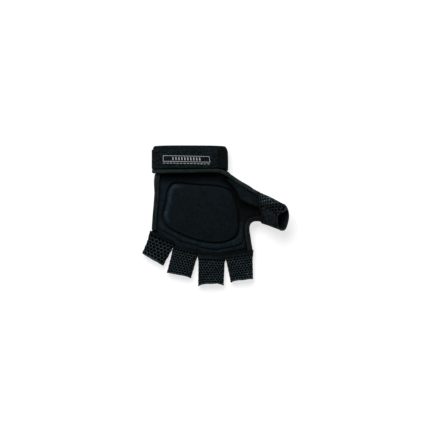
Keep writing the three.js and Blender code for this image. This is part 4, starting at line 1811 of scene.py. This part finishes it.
@dataclass
class Studio:
    """The floor, the lights and the camera over the glove; the camera's sizes are in millimetres."""

    frame_width: float = 516.0
    lens: float = 150.0
    sensor: float = 36.0
    focus: Row = (-0.9, 0.8, 15.0)
    floor_tone: float = 0.23
    floor_glow: float = 0.69
    sky: Row = (0.97, 0.985, 1.0, 1.0)
    sky_strength: float = 0.36
    # The soft light's sides and place in metres, and its power
    lamp_size: tuple[float, float] = (1.2, 0.9)
    lamp_place: Row = (-0.35, 0.8, 1.3)
    lamp_power: float = 48.0

    def build(self) -> None:
        """Make the studio."""
        self.floor()
        self.lights()
        self.camera()

    def floor(self) -> None:
        """A plain white floor that glows softly, as a light table does."""
        bpy.ops.mesh.primitive_plane_add(size=6.0, location=(0, 0, 0))
        floor = bpy.context.object
        floor.name = "floor"
        white = bpy.data.materials.new("white_floor")
        white.use_nodes = True
        inputs = {
            "Base Color": (*[self.floor_tone] * 3, 1.0),
            "Emission Color": (1.0, 1.0, 1.0, 1.0),
            "Emission Strength": self.floor_glow,
            "Roughness": 0.9,
            "Specular IOR Level": 0.1,
        }
        NodeMaker(white.node_tree).feed(white.node_tree.nodes["Principled BSDF"], inputs)
        floor.data.materials.append(white)

    def lights(self) -> None:
        """A pale sky and one large soft light over the wrist's side."""
        bpy.context.scene.view_settings.view_transform = "Standard"
        world = bpy.data.worlds.new("studio")
        bpy.context.scene.world = world
        world.use_nodes = True
        sky = world.node_tree.nodes["Background"]
        NodeMaker(world.node_tree).feed(sky, {"Color": self.sky, "Strength": self.sky_strength})
        lamp = bpy.data.lights.new("softbox", "AREA")
        lamp.shape = "RECTANGLE"
        lamp.size, lamp.size_y = self.lamp_size
        lamp.energy = self.lamp_power
        holder = put("softbox", lamp)
        holder.location = self.lamp_place
        holder.rotation_euler = (-holder.location).to_track_quat("-Z", "Y").to_euler()

    def camera(self) -> None:
        """A long lens straight above the glove."""
        eye = bpy.data.cameras.new("camera")
        eye.lens = self.lens
        eye.sensor_width = self.sensor
        distance = self.frame_width * self.lens / self.sensor
        holder = put("camera", eye)
        holder.location = in_frame(np.array(self.focus) + (0.0, 0.0, distance))
        bpy.context.scene.camera = holder


FINGERS = (
    MeshSleeve(
        "little_finger_sleeve",
        (
            Section(-78.4, -18.6, -51.3, -32.8, 0.4, 14.0, lean_y=2.4, bow=0.8),
            Section(-81.9, -28.5, -52.1, -40.1, 0.4, 14.5),
            Section(-89.1, -45.6, -63.1, -60.2, 0.4, 12.5, bow=0.1),
        ),
        cell_width=4.8,
        cell_height=3.5,
        seam=4.6,
        uneven=0.3,
        seed=0.7,
    ),
    MeshSleeve(
        "ring_finger_sleeve",
        (
            Section(-50.5, -37.6, -21.3, -43.2, 0.4, 14.0, lean_y=2.4),
            Section(-52.0, -41.6, -22.2, -49.2, 0.4, 14.5),
            Section(-59.3, -69.6, -29.7, -75.4, 0.4, 12.5, bow=-1.4),
        ),
        uneven=0.35,
        seed=1.9,
    ),
    MeshSleeve(
        "middle_finger_sleeve",
        (
            Section(-20.6, -45.6, 10.5, -49.2, 0.4, 14.5, lean_y=2.4, bow=1.6),
            Section(-20.9, -51.0, 11.0, -53.0, 0.4, 15.0),
            Section(-21.4, -84.7, 9.7, -84.4, 0.4, 13.0, bow=-2.4),
        ),
        top_hem=5.4,
        hem_depth=0.84,
        seam=2.2,
        uneven=0.5,
        seed=3.1,
    ),
    MeshSleeve(
        "index_finger_sleeve",
        (
            Section(11.3, -46.9, 44.9, -41.9, 0.4, 14.5, lean_y=2.4, bow=1.0),
            Section(12.0, -52.0, 44.5, -47.0, 0.4, 14.5),
            Section(18.0, -80.6, 45.1, -76.6, 0.4, 12.5, bow=-1.0),
        ),
        top_hem=3.6,
        seam=5.4,
        tone_marks=(39.5, -71.5, 9.0),
        uneven=0.45,
        grain=(3.4, 0.25, 0.25),
        seed=4.3,
    ),
)
THUMB = MeshSleeve(
    "thumb_sleeve",
    (
        Section(55.0, -8.5, 49.7, 28.3, 9.0, 17.5),
        Section(65.6, -13.0, 63.7, 23.2, 15.4, 17.0, lean_x=-5.0),
        Section(79.7, -18.0, 80.4, 13.5, 24.0, 13.5, lean_x=-13.6, bow=0.6),
    ),
    cell_width=3.8,
    cell_height=3.1,
    power=2.6,
    tuck=3.6,
    curl=9.6,
    plain=(0.24, 0.6),
    tone=-0.6,
    wrist_side_highlight=1.75,
    rim=1.3,
    uneven=0.5,
    seed=5.5,
)
BINDINGS = (
    Binding(
        "side_binding",
        (
            (-69.2, 53.0, 12.4), (-69.8, 48.6, 13.8), (-71.4, 21.0, 14.3), (-73.2, 0.0, 13.8),
            (-74.4, -17.0, 12.4),
        ),
        width=5.4,
    ),
    Binding(
        "crotch_binding",
        (
            (55.6, -5.0, 17.0), (51.6, -4.0, 16.6), (44.6, -4.5, 16.0), (39.8, -8.0, 15.4),
            (37.7, -14.4, 14.6), (39.2, -27.0, 13.0), (41.0, -38.6, 11.4), (41.9, -42.8, 9.6),
        ),
        width=5.8,
        tone=-0.1,
        hollow=0.5,
    ),
    Binding(
        "cuff_binding",
        (
            (-74.6, 53.0, 11.0), (-73.8, 53.0, 15.6), (-71.2, 52.9, 18.8), (-64.0, 52.9, 21.0),
            (-52.0, 53.2, 22.2), (-30.0, 53.6, 22.6), (-8.0, 54.0, 22.2), (4.6, 53.4, 21.4),
            (12.2, 50.4, 20.4), (26.4, 41.2, 19.4), (46.6, 28.8, 18.3), (51.8, 26.3, 18.6),
        ),
        width=4.6,
        furrow=0.0,
        stitched=False,
        seam_depth=0.0,
    ),
)


def main() -> None:
    """Build the glove and its studio."""
    logging.basicConfig(level=logging.INFO, format="%(name)s %(message)s")
    Studio().build()
    wardrobe = Wardrobe.cut()
    sewing = Sewing(wardrobe.thread)
    BackShell().build(wardrobe, sewing)
    HandPad().build(wardrobe)
    ThumbPanel().build(wardrobe, sewing)
    for sleeve in (*FINGERS, THUMB):
        sleeve.build(wardrobe, sewing)
    WristCuff().build(wardrobe, sewing)
    WristStrap().build(wardrobe, sewing)
    for binding in BINDINGS:
        binding.build(wardrobe, sewing)


if __name__ == "__main__":
    main()
